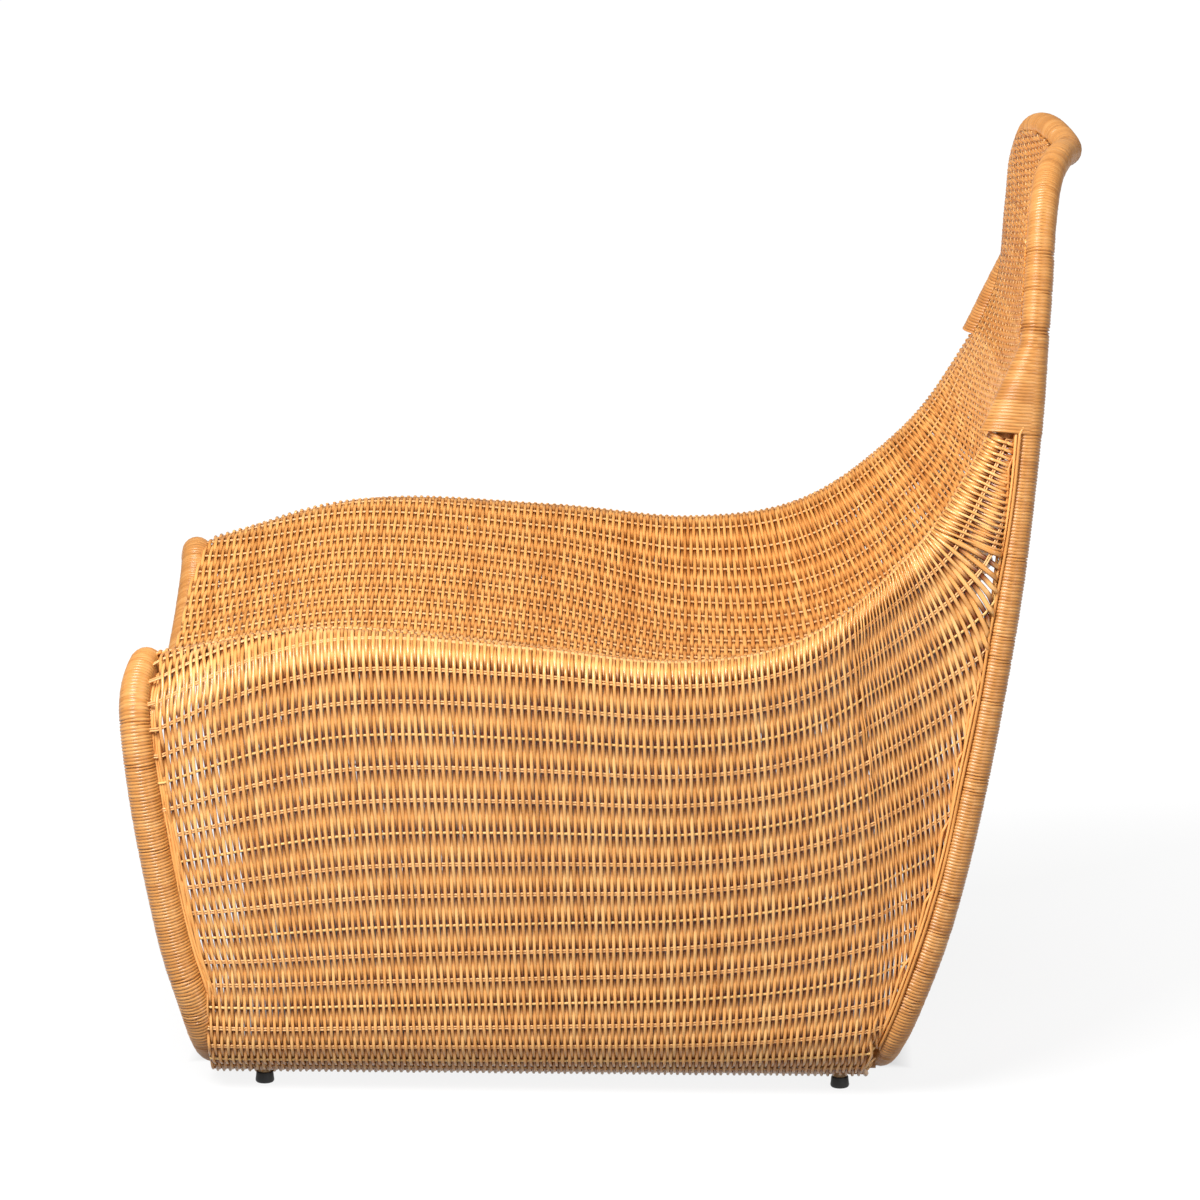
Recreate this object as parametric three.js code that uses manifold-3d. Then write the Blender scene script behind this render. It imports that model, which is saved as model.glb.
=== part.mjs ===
// A low woven rattan lounge chair: two bent hoops, one at the front and one at the back, joined by
// arm rails and floor rails, with a woven skin over the sides, the dished seat and the tall back.
// Millimetres, +Z up. The chair faces -Y, +X is the sitter's left, and the floor is Z = 0.
import * as THREE from 'three';
import { mergeVertices } from 'three/addons/utils/BufferGeometryUtils.js';
import Module from 'manifold-3d';

const wasm = await Module();
wasm.setup();

// Poles, bindings and woven skin.
const FRONT_POLE_RADIUS = 12;
const REAR_POLE_RADIUS = 10.5;
const ARM_RAIL_RADIUS = 9;
const FLOOR_RAIL_RADIUS = 9;
const BEARER_RADIUS = 8;
const BINDING_THICKNESS = 2.4;
const WEAVE_THICKNESS = 7;
const COURSE_SINK = 2.1;
const CLEARANCE = 0.3;
const FACET_ALLOWANCE = 1;

// Feet: a turned peg under a side floor rail, with a rubber cap pushed on it.
const FRONT_FOOT_Y = -294;
const REAR_FOOT_Y = 223;
const PEG_RADIUS = 6.2;
const TENON_RADIUS = 4.5;
const TENON_LENGTH = 12;
const CAP_WALL = 2;
const CAP_FLOOR = 3.5;
const CAP_HEIGHT = 10.5;
const CAP_EDGE_RADIUS = 1.6;
const PEG_TO_RAIL = 0.4;

// Nails that hold the cross bearers to the arm rails.
const NAIL_RADIUS = 1.4;
const NAIL_HEAD_RADIUS = 3;
const NAIL_HEAD_THICKNESS = 1.4;
const NAIL_REACH = 24;

// Floor level of the frame.
const FLOOR_RAIL_HEIGHT = 27;
const SIDE_HALF_WIDTH = 303;
const SIDE_RAIL_HALF_SPACING = SIDE_HALF_WIDTH - 49;
const FRONT_FLOOR_Y = -336;
const REAR_FLOOR_Y = 255;
const SKIRT_RADIUS = 52;

// Arm, seat and back levels.
const FRONT_ARM_HALF_WIDTH = 240;
const FRONT_ARM_Y = -397;
const FRONT_ARM_HEIGHT = 382;
const FRONT_SEAT_HEIGHT = 294;
const BACK_HALF_WIDTH = 247;
const BACK_Y = 387;
const BACK_SHOULDER_HEIGHT = 672;
const BACK_HEIGHT = 813;

// Half of the front hoop, from the middle of the floor, up the leg, over the arm and down to the
// middle of the seat's front edge.
const FRONT_HALF = [
  [0, FRONT_FLOOR_Y, FLOOR_RAIL_HEIGHT],
  [130, FRONT_FLOOR_Y, FLOOR_RAIL_HEIGHT],
  [225, FRONT_FLOOR_Y - 2, FLOOR_RAIL_HEIGHT],
  [SIDE_HALF_WIDTH - 25, FRONT_FLOOR_Y - 7, FLOOR_RAIL_HEIGHT + 20],
  [SIDE_HALF_WIDTH - 3, FRONT_FLOOR_Y - 18, FLOOR_RAIL_HEIGHT + 65],
  [SIDE_HALF_WIDTH, FRONT_ARM_Y + 28, 145],
  [SIDE_HALF_WIDTH, FRONT_ARM_Y + 9, 243],
  [SIDE_HALF_WIDTH - 5, FRONT_ARM_Y - 2, FRONT_ARM_HEIGHT - 61],
  [FRONT_ARM_HALF_WIDTH + 41, FRONT_ARM_Y - 5, FRONT_ARM_HEIGHT - 20],
  [FRONT_ARM_HALF_WIDTH, FRONT_ARM_Y, FRONT_ARM_HEIGHT],
  [FRONT_ARM_HALF_WIDTH - 42, FRONT_ARM_Y + 1, FRONT_ARM_HEIGHT - 21],
  [110, FRONT_ARM_Y, FRONT_SEAT_HEIGHT + 29],
  [0, FRONT_ARM_Y - 1, FRONT_SEAT_HEIGHT],
];
const FRONT_LEG_FOOT = 1.6;
const FRONT_LEG_TOP = 9.5;

// Half of the rear hoop, from the middle of the floor, up the leg and the wing to the top of the back.
const REAR_HALF = [
  [0, REAR_FLOOR_Y, FLOOR_RAIL_HEIGHT],
  [130, REAR_FLOOR_Y, FLOOR_RAIL_HEIGHT],
  [225, REAR_FLOOR_Y + 2, FLOOR_RAIL_HEIGHT],
  [SIDE_HALF_WIDTH - 23, REAR_FLOOR_Y + 10, FLOOR_RAIL_HEIGHT + 20],
  [SIDE_HALF_WIDTH - 1, REAR_FLOOR_Y + 28, FLOOR_RAIL_HEIGHT + 65],
  [SIDE_HALF_WIDTH + 4, BACK_Y - 77, 172],
  [SIDE_HALF_WIDTH, BACK_Y - 50, 290],
  [SIDE_HALF_WIDTH - 15, BACK_Y - 23, BACK_SHOULDER_HEIGHT - 227],
  [BACK_HALF_WIDTH + 21, BACK_Y - 8, BACK_SHOULDER_HEIGHT - 102],
  [BACK_HALF_WIDTH, BACK_Y, BACK_SHOULDER_HEIGHT],
  [BACK_HALF_WIDTH - 17, BACK_Y + 4, BACK_SHOULDER_HEIGHT + 56],
  [BACK_HALF_WIDTH - 40, BACK_Y + 7, BACK_HEIGHT - 37],
  [BACK_HALF_WIDTH - 87, BACK_Y + 14, BACK_HEIGHT - 5],
  [92, BACK_Y + 26, BACK_HEIGHT + 5],
  [0, BACK_Y + 38, BACK_HEIGHT],
];
const REAR_LEG_FOOT = 1.7;
const REAR_CORNER = 2.4;
const REAR_LEG_WIDEST = 5;
const REAR_LEG_TOP = 9;
const WING_WRAP_FOOT = 8.25;
const WING_WRAP_TOP = 8.94;

// Crest of the woven skin, from the front hoop along the arm, up the wing and round the back.
// Each row: half width, Y, Z, dish depth, dish power, lean of the dish in degrees, shoulder width.
const CREST = [
  [FRONT_ARM_HALF_WIDTH + 3, FRONT_ARM_Y + 3, FRONT_ARM_HEIGHT + 8, 83.5, 1.2, -6, 60],
  [SIDE_HALF_WIDTH - 16, -238, FRONT_ARM_HEIGHT + 43, 92.5, 1.2, -2, 31],
  [SIDE_HALF_WIDTH + 8, -60, FRONT_ARM_HEIGHT + 34, 97, 1.4, 0, 24],
  [SIDE_HALF_WIDTH + 12, 80, FRONT_ARM_HEIGHT + 22, 108, 2.4, 3, 22],
  [SIDE_HALF_WIDTH + 5, 190, FRONT_ARM_HEIGHT + 43, 122, 2.6, 25, 18],
  [SIDE_HALF_WIDTH - 16, BACK_Y - 105, BACK_SHOULDER_HEIGHT - 175, 110, 2.1, 46, 14],
  [BACK_HALF_WIDTH + 19, BACK_Y - 52, BACK_SHOULDER_HEIGHT - 99, 38, 2, 60, 12],
  [BACK_HALF_WIDTH + 2, BACK_Y - 17, BACK_SHOULDER_HEIGHT - 24, 18, 2, 68, 12],
  [BACK_HALF_WIDTH - 17, BACK_Y - 9, BACK_SHOULDER_HEIGHT + 54, 24, 2, 85, 12],
  [BACK_HALF_WIDTH - 40, BACK_Y - 6, BACK_HEIGHT - 39, 27, 2, 88, 12],
  [BACK_HALF_WIDTH - 87, BACK_Y + 1, BACK_HEIGHT - 8, 23, 2, 88, 12],
  [95, BACK_Y + 13, BACK_HEIGHT + 2, 12, 2, 88, 12],
];
const CREST_ROUNDING = 26;
const MIDDLE_ROUNDING = 0.15;
const FRONT_BOW = 23;
const FRONT_BOW_STATIONS = 2;

// Stations along the crest where a skin, a rail or a bearer begins or ends.
const SEAT_END = 4.6;
const SIDE_REAR_START = 4.9;
const WING_END = 6.35;
const WING_WRAP_START = 6.4;
const ARM_RAIL_END = 6.75;
const RAIL_INSET = 3;
const BEARER_STATIONS = { seat_bearer_front: 1.4, seat_bearer_rear: 3.4, back_bearer: 5.5 };

// Courses of the weave: level ribs on the sides, and ribs from front to back across the dish. At the
// front end of a side some ribs come over the crest, and the last courses lie closer, in the curl.
const SIDE_COURSES = 18;
const DISH_COURSES = 30;
const RIBS_OVER_CREST = 3;
const RIBS_OVER_CREST_RATE = 6.4;
const RIBS_IN_CURL = 2.7;
const RIB_CLIMB = 1.87;

// Seams between neighbours, as parts of a station, of a width or of a hoop's point spacing.
const SEAT_SEAM = 0.008;
const CREST_SEAM = 0.0016;
const SIDE_SEAM = 0.001;
const BUTT_GAP = 0.004;

// Facets.
const ROUND_SIDES = 8;
const LEG_STEPS = 14;
const RAIL_STEPS = 18;
const ARCH_STEPS = 22;
const FLOOR_STEPS = 6;
const ARM_STEPS = 26;
const BEARER_STEPS = 12;
const WRAP_STEPS = 6;
const WRAP_SIDES = 14;
const PATH_POINTS = 48;
const SIDE_COLUMNS = 16;
const DISH_COLUMNS = 12;

// Finishes.
const FINISHES = {
  pole: { color: 0xc88a45, roughness: 0.5, metalness: 0 },
  binding: { color: 0xd99a4e, roughness: 0.38, metalness: 0 },
  weave: { color: 0xd8964a, roughness: 0.45, metalness: 0 },
  peg: { color: 0xd8b98a, roughness: 0.6, metalness: 0 },
  rubber: { color: 0x161616, roughness: 0.7, metalness: 0 },
  nail: { color: 0x8a8a88, roughness: 0.35, metalness: 1 },
};

const chair = new THREE.Group();

function place(name, geometry, finish) {
  const mesh = new THREE.Mesh(geometry, new THREE.MeshStandardMaterial(FINISHES[finish]));
  mesh.name = name;
  chair.add(mesh);
}

function toSolid(geometry) {
  const bare = geometry.clone();
  bare.deleteAttribute('normal');
  bare.deleteAttribute('uv');
  const merged = mergeVertices(bare, 1e-4);
  const mesh = new wasm.Mesh({
    numProp: 3,
    vertProperties: new Float32Array(merged.attributes.position.array),
    triVerts: new Uint32Array(merged.index.array),
  });
  return new wasm.Manifold(mesh);
}

function toGeometry(solid) {
  const mesh = solid.getMesh();
  const geometry = new THREE.BufferGeometry();
  geometry.setAttribute('position', new THREE.BufferAttribute(mesh.vertProperties, 3));
  geometry.setIndex(new THREE.BufferAttribute(mesh.triVerts, 1));
  return geometry;
}

// The piece with the cutters taken away; of what is left, the largest body.
function cut(geometry, cutters) {
  let solid = toSolid(geometry);
  for (const cutter of cutters) {
    solid = solid.subtract(toSolid(cutter));
  }
  const bodies = solid.decompose();
  bodies.sort((a, b) => b.volume() - a.volume());
  return toGeometry(bodies[0]);
}

// The same piece on the other side of the chair, with its faces turned to point out again.
function mirror(geometry) {
  const copy = geometry.clone();
  copy.deleteAttribute('normal');
  copy.deleteAttribute('uv');
  const merged = mergeVertices(copy, 1e-4);
  merged.scale(-1, 1, 1);
  const index = merged.index.array;
  for (let i = 0; i < index.length; i += 3) {
    [index[i], index[i + 1]] = [index[i + 1], index[i]];
  }
  return merged;
}

function placePair(name, geometry, finish) {
  place(`${name}_left`, geometry, finish);
  place(`${name}_right`, mirror(geometry), finish);
}

// A closed hoop through half of its points and their mirror images.
function hoop(half) {
  const otherHalf = half.slice(1, -1).reverse();
  const points = half.map(([x, y, z]) => new THREE.Vector3(x, y, z));
  const mirrored = otherHalf.map(([x, y, z]) => new THREE.Vector3(-x, y, z));
  return new THREE.CatmullRomCurve3([...points, ...mirrored], true, 'catmullrom', 0.5);
}

// A stretch of a hoop between two of its point numbers.
class Stretch extends THREE.Curve {
  constructor(route, from, to) {
    super();
    this.route = route;
    this.from = from / route.points.length;
    this.to = to / route.points.length;
  }

  getPoint(t, target = new THREE.Vector3()) {
    return this.route.getPoint(THREE.MathUtils.lerp(this.from, this.to, t), target);
  }
}

// A round rod along a route, or a sleeve where a bore is given.
function rod(route, radius, { bore = 0, steps = LEG_STEPS, sides = ROUND_SIDES } = {}) {
  const section = new THREE.Shape().absarc(0, 0, radius, 0, Math.PI * 2);
  if (bore > 0) {
    section.holes.push(new THREE.Path().absarc(0, 0, bore, 0, Math.PI * 2, true));
  }
  return new THREE.ExtrudeGeometry(section, {
    steps,
    curveSegments: sides / 2,
    extrudePath: route,
    bevelEnabled: false,
  });
}

// One row of the crest table at any station, smoothly blended.
function crestRow(station) {
  const last = CREST.length - 1;
  const i = Math.min(Math.floor(station), last - 1);
  const f = station - i;
  const at = (k) => {
    if (k < 0) return CREST[0].map((value, c) => 2 * value - CREST[1][c]);
    if (k > last) return CREST[last].map((value, c) => 2 * value - CREST[last - 1][c]);
    return CREST[k];
  };
  const [a, b, c, d] = [at(i - 1), at(i), at(i + 1), at(i + 2)];
  return b.map((value, n) => {
    const slope = c[n] - a[n];
    const bend = 2 * a[n] - 5 * value + 4 * c[n] - d[n];
    const twist = 3 * value - a[n] - 3 * c[n] + d[n];
    return 0.5 * (2 * value + slope * f + bend * f * f + twist * f * f * f);
  });
}

// The direction that the dish faces at a station: up at the seat, forward at the back.
function dishNormal(lean) {
  const angle = THREE.MathUtils.degToRad(lean);
  return new THREE.Vector3(0, -Math.sin(angle), Math.cos(angle));
}

// The distance from the middle line, 0 there and 1 at the crest, rounded off at the middle.
function fromMiddle(across) {
  const whole = Math.hypot(1, MIDDLE_ROUNDING) - MIDDLE_ROUNDING;
  return (Math.hypot(across, MIDDLE_ROUNDING) - MIDDLE_ROUNDING) / whole;
}

// A point of the dish at a station, across = -1 at the right crest and 1 at the left crest.
// The dish falls by a power of the distance from the middle and rounds over at the crest.
function dishPoint(station, across, below = 0) {
  const [halfWidth, y, z, depth, power, lean] = crestRow(station);
  const out = Math.abs(across) * halfWidth;
  const steepness = 1 / (1 + MIDDLE_ROUNDING ** 2 - MIDDLE_ROUNDING * Math.hypot(1, MIDDLE_ROUNDING));
  const edgeSlope = (power * depth * steepness) / halfWidth;
  const rounded = Math.max(0, out - halfWidth + CREST_ROUNDING);
  const lift = (edgeSlope * (CREST_ROUNDING - (rounded * rounded) / CREST_ROUNDING)) / 2;
  const fall = depth * (1 - fromMiddle(across) ** power) - lift;
  const point = dishNormal(lean).multiplyScalar(-fall - below);
  return point.add(new THREE.Vector3(across * halfWidth, y, z));
}

// The lower edge of a side at a station, and the radius with which the side turns in to reach it:
// along the floor, then round the rear hoop's corner and up the rear leg.
function sideFoot(station) {
  if (station <= SIDE_REAR_START) {
    const y = THREE.MathUtils.mapLinear(station, 0, SIDE_REAR_START, FRONT_FLOOR_Y, REAR_FLOOR_Y + 4);
    const foot = new THREE.Vector3(SIDE_HALF_WIDTH - SKIRT_RADIUS, y, skirtHeight);
    return { foot, skirt: SKIRT_RADIUS };
  }
  const climb = (station - SIDE_REAR_START) / (WING_END - SIDE_REAR_START);
  const point = THREE.MathUtils.lerp(REAR_CORNER, WING_WRAP_FOOT - 0.05, climb ** 0.8);
  const foot = rearHoop.getPoint(point / rearHoop.points.length);
  const inset = point < REAR_LEG_WIDEST ? SIDE_HALF_WIDTH - foot.x : 0;
  return { foot, skirt: THREE.MathUtils.clamp(inset, 1, SKIRT_RADIUS) };
}

// The outer side's path at a station. It rounds over from the crest to the shoulder, runs straight
// down, and turns in under the side floor rail.
function sidePath(station) {
  const [halfWidth, y, z, , , , shoulder] = crestRow(station);
  const { foot, skirt } = sideFoot(station);
  const run = Math.hypot(foot.y - y, foot.z - z);
  const drop = shoulder + 4;
  const bow = FRONT_BOW * Math.max(0, 1 - station / FRONT_BOW_STATIONS) ** 2;
  const points = [];
  for (let i = 0; i <= PATH_POINTS; i += 1) {
    const down = (1 - Math.cos((Math.PI * i) / PATH_POINTS)) / 2;
    const gone = down * run;
    let x = THREE.MathUtils.mapLinear(gone, drop, run, halfWidth + shoulder, foot.x + skirt);
    if (gone < drop) {
      x = halfWidth + shoulder * Math.sqrt(1 - (1 - gone / drop) ** 2);
    }
    const turnedIn = Math.max(0, gone - (run - skirt));
    x -= skirt - Math.sqrt(Math.max(0, skirt * skirt - turnedIn * turnedIn));
    const ahead = bow * Math.sin(Math.PI * down ** 0.75);
    const point = new THREE.Vector3(x, y, z);
    point.y = THREE.MathUtils.lerp(y, foot.y, down) - ahead;
    point.z = THREE.MathUtils.lerp(z, foot.z, down);
    points.push(point);
  }
  return points;
}

// A point of the outer side, down = 0 at the crest and 1 at the lower edge, by length along its path.
function sidePoint(station, down) {
  const points = sidePath(station);
  const lengths = [0];
  for (let i = 1; i < points.length; i += 1) {
    lengths.push(lengths[i - 1] + points[i].distanceTo(points[i - 1]));
  }
  const goal = down * lengths[PATH_POINTS];
  let i = 1;
  while (i < PATH_POINTS && lengths[i] < goal) i += 1;
  const part = (goal - lengths[i - 1]) / (lengths[i] - lengths[i - 1]);
  return points[i - 1].clone().lerp(points[i], part);
}

// How many ribs lie above a point of a side. They climb towards the rear leg.
function ribsAbove(station, down) {
  const [first, here, last] = [0, station, SIDE_REAR_START].map((at) => crestRow(at)[1]);
  const share = THREE.MathUtils.clamp((here - first) / (last - first), 0, 1);
  const early = Math.exp(-RIBS_OVER_CREST_RATE * share);
  const level = (SIDE_COURSES - RIBS_IN_CURL) * down + RIBS_IN_CURL * down ** 6;
  const climb = (RIB_CLIMB * share - 1) * (1 - early) * Math.sin(Math.PI * down ** 1.6);
  return level + climb - RIBS_OVER_CREST * early * (1 - down) ** 1.3;
}

// The part of the way down a side, halved into place, where a share of its courses has been passed.
function downToCourse(station, share) {
  const goal = THREE.MathUtils.lerp(ribsAbove(station, 0), ribsAbove(station, 1), share);
  let [above, below] = [0, 1];
  for (let i = 0; i < 20; i += 1) {
    const between = (above + below) / 2;
    if (ribsAbove(station, between) < goal) above = between;
    else below = between;
  }
  return share === 0 ? 0 : below;
}

// How far the skin's faces sink at a grid row, midway between two ribs.
function courseSink(row) {
  return row % 2 === 0 ? 0 : COURSE_SINK;
}

// A closed shell about a surface given on a grid of two parameters. Its faces sink between ribs.
function shell(surface, columns, rows, thickness, sinks = () => 1) {
  const nudge = 1e-3;
  const faces = [];
  for (const side of [1, -1]) {
    const layer = [];
    for (let i = 0; i <= columns; i += 1) {
      for (let j = 0; j <= rows; j += 1) {
        const [u, v] = [i / columns, j / rows];
        const alongU = surface(Math.min(u + nudge, 1), v).sub(surface(Math.max(u - nudge, 0), v));
        const alongV = surface(u, Math.min(v + nudge, 1)).sub(surface(u, Math.max(v - nudge, 0)));
        const normal = alongU.cross(alongV).normalize();
        const half = thickness / 2 - courseSink(j) * sinks(u);
        layer.push(surface(u, v).addScaledVector(normal, side * half));
      }
    }
    faces.push(layer);
  }
  const stride = rows + 1;
  const perLayer = (columns + 1) * stride;
  const index = [];
  const quad = (a, b, c, d) => index.push(a, b, c, a, c, d);
  for (let i = 0; i < columns; i += 1) {
    for (let j = 0; j < rows; j += 1) {
      const a = i * stride + j;
      quad(a, a + stride, a + stride + 1, a + 1);
      quad(perLayer + a, perLayer + a + 1, perLayer + a + stride + 1, perLayer + a + stride);
    }
    const [first, last] = [i * stride, i * stride + rows];
    quad(first, perLayer + first, perLayer + first + stride, first + stride);
    quad(last, last + stride, perLayer + last + stride, perLayer + last);
  }
  for (let j = 0; j < rows; j += 1) {
    const last = columns * stride + j;
    quad(j, j + 1, perLayer + j + 1, perLayer + j);
    quad(last, perLayer + last, perLayer + last + 1, last + 1);
  }
  const geometry = new THREE.BufferGeometry();
  const positions = faces.flat().flatMap((p) => p.toArray());
  geometry.setAttribute('position', new THREE.Float32BufferAttribute(positions, 3));
  geometry.setIndex(index);
  return geometry;
}

const frontRoll = FRONT_POLE_RADIUS + BINDING_THICKNESS;
const rearRoll = REAR_POLE_RADIUS + BINDING_THICKNESS;
const skirtHeight = FLOOR_RAIL_HEIGHT - FLOOR_RAIL_RADIUS - CLEARANCE - WEAVE_THICKNESS / 2;
const frontHoop = hoop(FRONT_HALF);
const rearHoop = hoop(REAR_HALF);
const frontEnd = frontHoop.points.length;
const rearEnd = rearHoop.points.length;

// Hoops: bent poles, butted end to end, each bound with cane along its length.
const frontLeg = new Stretch(frontHoop, FRONT_LEG_FOOT + BUTT_GAP, FRONT_LEG_TOP - BUTT_GAP);
const frontRail = new Stretch(frontHoop, FRONT_LEG_TOP + BUTT_GAP, frontEnd - FRONT_LEG_TOP - BUTT_GAP);
const frontFloor = new Stretch(frontHoop, -FRONT_LEG_FOOT + BUTT_GAP, FRONT_LEG_FOOT - BUTT_GAP);
const rearLeg = new Stretch(rearHoop, REAR_LEG_FOOT + BUTT_GAP, REAR_LEG_TOP - BUTT_GAP);
const backArch = new Stretch(rearHoop, REAR_LEG_TOP + BUTT_GAP, rearEnd - REAR_LEG_TOP - BUTT_GAP);
const rearFloor = new Stretch(rearHoop, -REAR_LEG_FOOT + BUTT_GAP, REAR_LEG_FOOT - BUTT_GAP);
const railSteps = { steps: RAIL_STEPS };
const archSteps = { steps: ARCH_STEPS };
const floorSteps = { steps: FLOOR_STEPS };
const armSteps = { steps: ARM_STEPS };
const frontBinding = { bore: FRONT_POLE_RADIUS + CLEARANCE };
const rearBinding = { bore: REAR_POLE_RADIUS + CLEARANCE };
placePair('front_leg', rod(frontLeg, FRONT_POLE_RADIUS), 'pole');
placePair('front_leg_binding', rod(frontLeg, frontRoll, frontBinding), 'binding');
place('seat_front_rail', rod(frontRail, FRONT_POLE_RADIUS, railSteps), 'pole');
place('seat_front_binding', rod(frontRail, frontRoll, { ...frontBinding, ...railSteps }), 'binding');
place('front_floor_rail', rod(frontFloor, FRONT_POLE_RADIUS, floorSteps), 'pole');
placePair('rear_leg', rod(rearLeg, REAR_POLE_RADIUS), 'pole');
placePair('rear_leg_binding', rod(rearLeg, rearRoll, rearBinding), 'binding');
place('back_arch', rod(backArch, REAR_POLE_RADIUS, archSteps), 'pole');
place('back_arch_binding', rod(backArch, rearRoll, { ...rearBinding, ...archSteps }), 'binding');
place('rear_floor_rail', rod(rearFloor, REAR_POLE_RADIUS, floorSteps), 'pole');

// Room that the bound hoops take out of what ends against them, with a plug over each butt joint.
function jointPlug(route, at, radius) {
  return rod(new Stretch(route, at - 0.03, at + 0.03), radius, { steps: 1, sides: 16 });
}
const frontLegRoom = rod(frontLeg, frontRoll + CLEARANCE);
const frontRoom = [
  frontLegRoom,
  mirror(frontLegRoom),
  rod(frontRail, frontRoll + CLEARANCE, railSteps),
  jointPlug(frontHoop, FRONT_LEG_TOP, frontRoll + CLEARANCE),
  jointPlug(frontHoop, frontEnd - FRONT_LEG_TOP, frontRoll + CLEARANCE),
];
const rearLegRoom = rod(rearLeg, rearRoll + CLEARANCE);
const rearRoom = [
  rearLegRoom,
  mirror(rearLegRoom),
  rod(backArch, rearRoll + CLEARANCE, archSteps),
  jointPlug(rearHoop, REAR_LEG_TOP, rearRoll + CLEARANCE),
  jointPlug(rearHoop, rearEnd - REAR_LEG_TOP, rearRoll + CLEARANCE),
];

// Arm rails: under the crest of the weave from the front hoop to the wing, scarfed onto the rear leg.
const railBelowCrest = WEAVE_THICKNESS / 2 + CLEARANCE + ARM_RAIL_RADIUS + FACET_ALLOWANCE;
const armRoute = new THREE.CatmullRomCurve3(
  Array.from({ length: 17 }, (_, i) => {
    const [halfWidth, y, z, , , lean] = crestRow((ARM_RAIL_END * i) / 16);
    const point = dishNormal(lean).multiplyScalar(-railBelowCrest);
    return point.add(new THREE.Vector3(halfWidth - RAIL_INSET, y, z));
  }),
  false,
  'catmullrom',
  0.5,
);
const armRoom = rod(armRoute, ARM_RAIL_RADIUS + CLEARANCE, armSteps);

// Cross bearers: bent poles under the dish, coped to the arm rails and nailed through them.
const belowDish = WEAVE_THICKNESS / 2 + CLEARANCE + BEARER_RADIUS + FACET_ALLOWANCE;
const nails = [];
const nailHoles = [];
const headRooms = [];
const bearers = {};
const bearerRooms = [];
for (const [name, station] of Object.entries(BEARER_STATIONS)) {
  const points = Array.from({ length: BEARER_STEPS + 1 }, (_, i) => {
    const across = THREE.MathUtils.mapLinear(i, 0, BEARER_STEPS, -1, 1);
    return dishPoint(station, across * 0.995, belowDish);
  });
  const route = new THREE.CatmullRomCurve3(points, false, 'catmullrom', 0.5);
  bearers[name] = rod(route, BEARER_RADIUS);
  bearerRooms.push(rod(route, BEARER_RADIUS + CLEARANCE));
  const seat = armRoute.getPoint(station / ARM_RAIL_END);
  const railAxis = armRoute.getTangent(station / ARM_RAIL_END);
  const inward = points[BEARER_STEPS - 2].clone().sub(seat);
  inward.addScaledVector(railAxis, -inward.dot(railAxis)).normalize();
  nails.push(nail(seat, inward));
  nailHoles.push(nailHole(seat, inward));
  headRooms.push(nailRoom(seat, inward));
}

// A nail driven inwards through an arm rail: its head lies on the rail, its point is in the bearer.
function turned(geometry, seat, inward) {
  const turn = new THREE.Quaternion().setFromUnitVectors(new THREE.Vector3(0, 1, 0), inward);
  return geometry.applyQuaternion(turn).translate(seat.x, seat.y, seat.z);
}
function nail(seat, inward) {
  const under = -ARM_RAIL_RADIUS - CLEARANCE;
  const top = under - NAIL_HEAD_THICKNESS;
  const profile = [
    [0, top],
    [NAIL_HEAD_RADIUS, top],
    [NAIL_HEAD_RADIUS, under],
    [NAIL_RADIUS, under],
    [NAIL_RADIUS, NAIL_REACH - 3],
    [0, NAIL_REACH],
  ].map(([r, along]) => new THREE.Vector2(r, along));
  return turned(new THREE.LatheGeometry(profile, ROUND_SIDES), seat, inward);
}
function nailHole(seat, inward) {
  const start = -ARM_RAIL_RADIUS - 2;
  const length = NAIL_REACH + 1 - start;
  const hole = new THREE.CylinderGeometry(NAIL_RADIUS + 0.25, NAIL_RADIUS + 0.25, length, ROUND_SIDES);
  return turned(hole.translate(0, start + length / 2, 0), seat, inward);
}
function nailRoom(seat, inward) {
  const start = -ARM_RAIL_RADIUS - NAIL_HEAD_THICKNESS - 2 * CLEARANCE;
  const room = new THREE.CylinderGeometry(
    NAIL_HEAD_RADIUS + CLEARANCE,
    NAIL_HEAD_RADIUS + CLEARANCE,
    -start,
    ROUND_SIDES,
  );
  return turned(room.translate(0, start / 2, 0), seat, inward);
}
const allHoles = [...nailHoles, ...nailHoles.map(mirror)];
const armRail = rod(armRoute, ARM_RAIL_RADIUS, armSteps);
placePair('arm_rail', cut(armRail, [...frontRoom, ...rearRoom, ...nailHoles]), 'pole');
for (const [name, bearer] of Object.entries(bearers)) {
  place(name, cut(bearer, [armRoom, mirror(armRoom), ...allHoles]), 'pole');
}
for (const [i, name] of Object.keys(BEARER_STATIONS).entries()) {
  placePair(`${name}_nail`, nails[i], 'nail');
}

// Wing wraps: one binding round the rear leg and the end of the arm rail, narrowing as they meet.
function wrapRing(step, radius) {
  const along = THREE.MathUtils.lerp(WING_WRAP_FOOT, WING_WRAP_TOP, step / WRAP_STEPS);
  const leg = rearHoop.getPoint(along / rearEnd);
  const axis = rearHoop.getTangent(along / rearEnd);
  const level = THREE.MathUtils.lerp(WING_WRAP_START, ARM_RAIL_END, step / WRAP_STEPS);
  const [, y, z, , , lean] = crestRow(level);
  const rail = dishNormal(lean).multiplyScalar(-railBelowCrest).add(new THREE.Vector3(0, y, z));
  const reach = Math.max(0, leg.y - rail.y - 3) * (1 - step / WRAP_STEPS) ** 0.6;
  const forward = new THREE.Vector3(0, -1, 0);
  forward.addScaledVector(axis, -forward.dot(axis)).normalize();
  const sideways = new THREE.Vector3().crossVectors(axis, forward);
  return Array.from({ length: WRAP_SIDES }, (_, i) => {
    const angle = ((i + 0.5) / WRAP_SIDES) * Math.PI * 2;
    const ahead = Math.cos(angle);
    const point = leg.clone().addScaledVector(forward, radius * ahead + (ahead > 0 ? reach : 0));
    return point.addScaledVector(sideways, radius * Math.sin(angle));
  });
}
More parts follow.
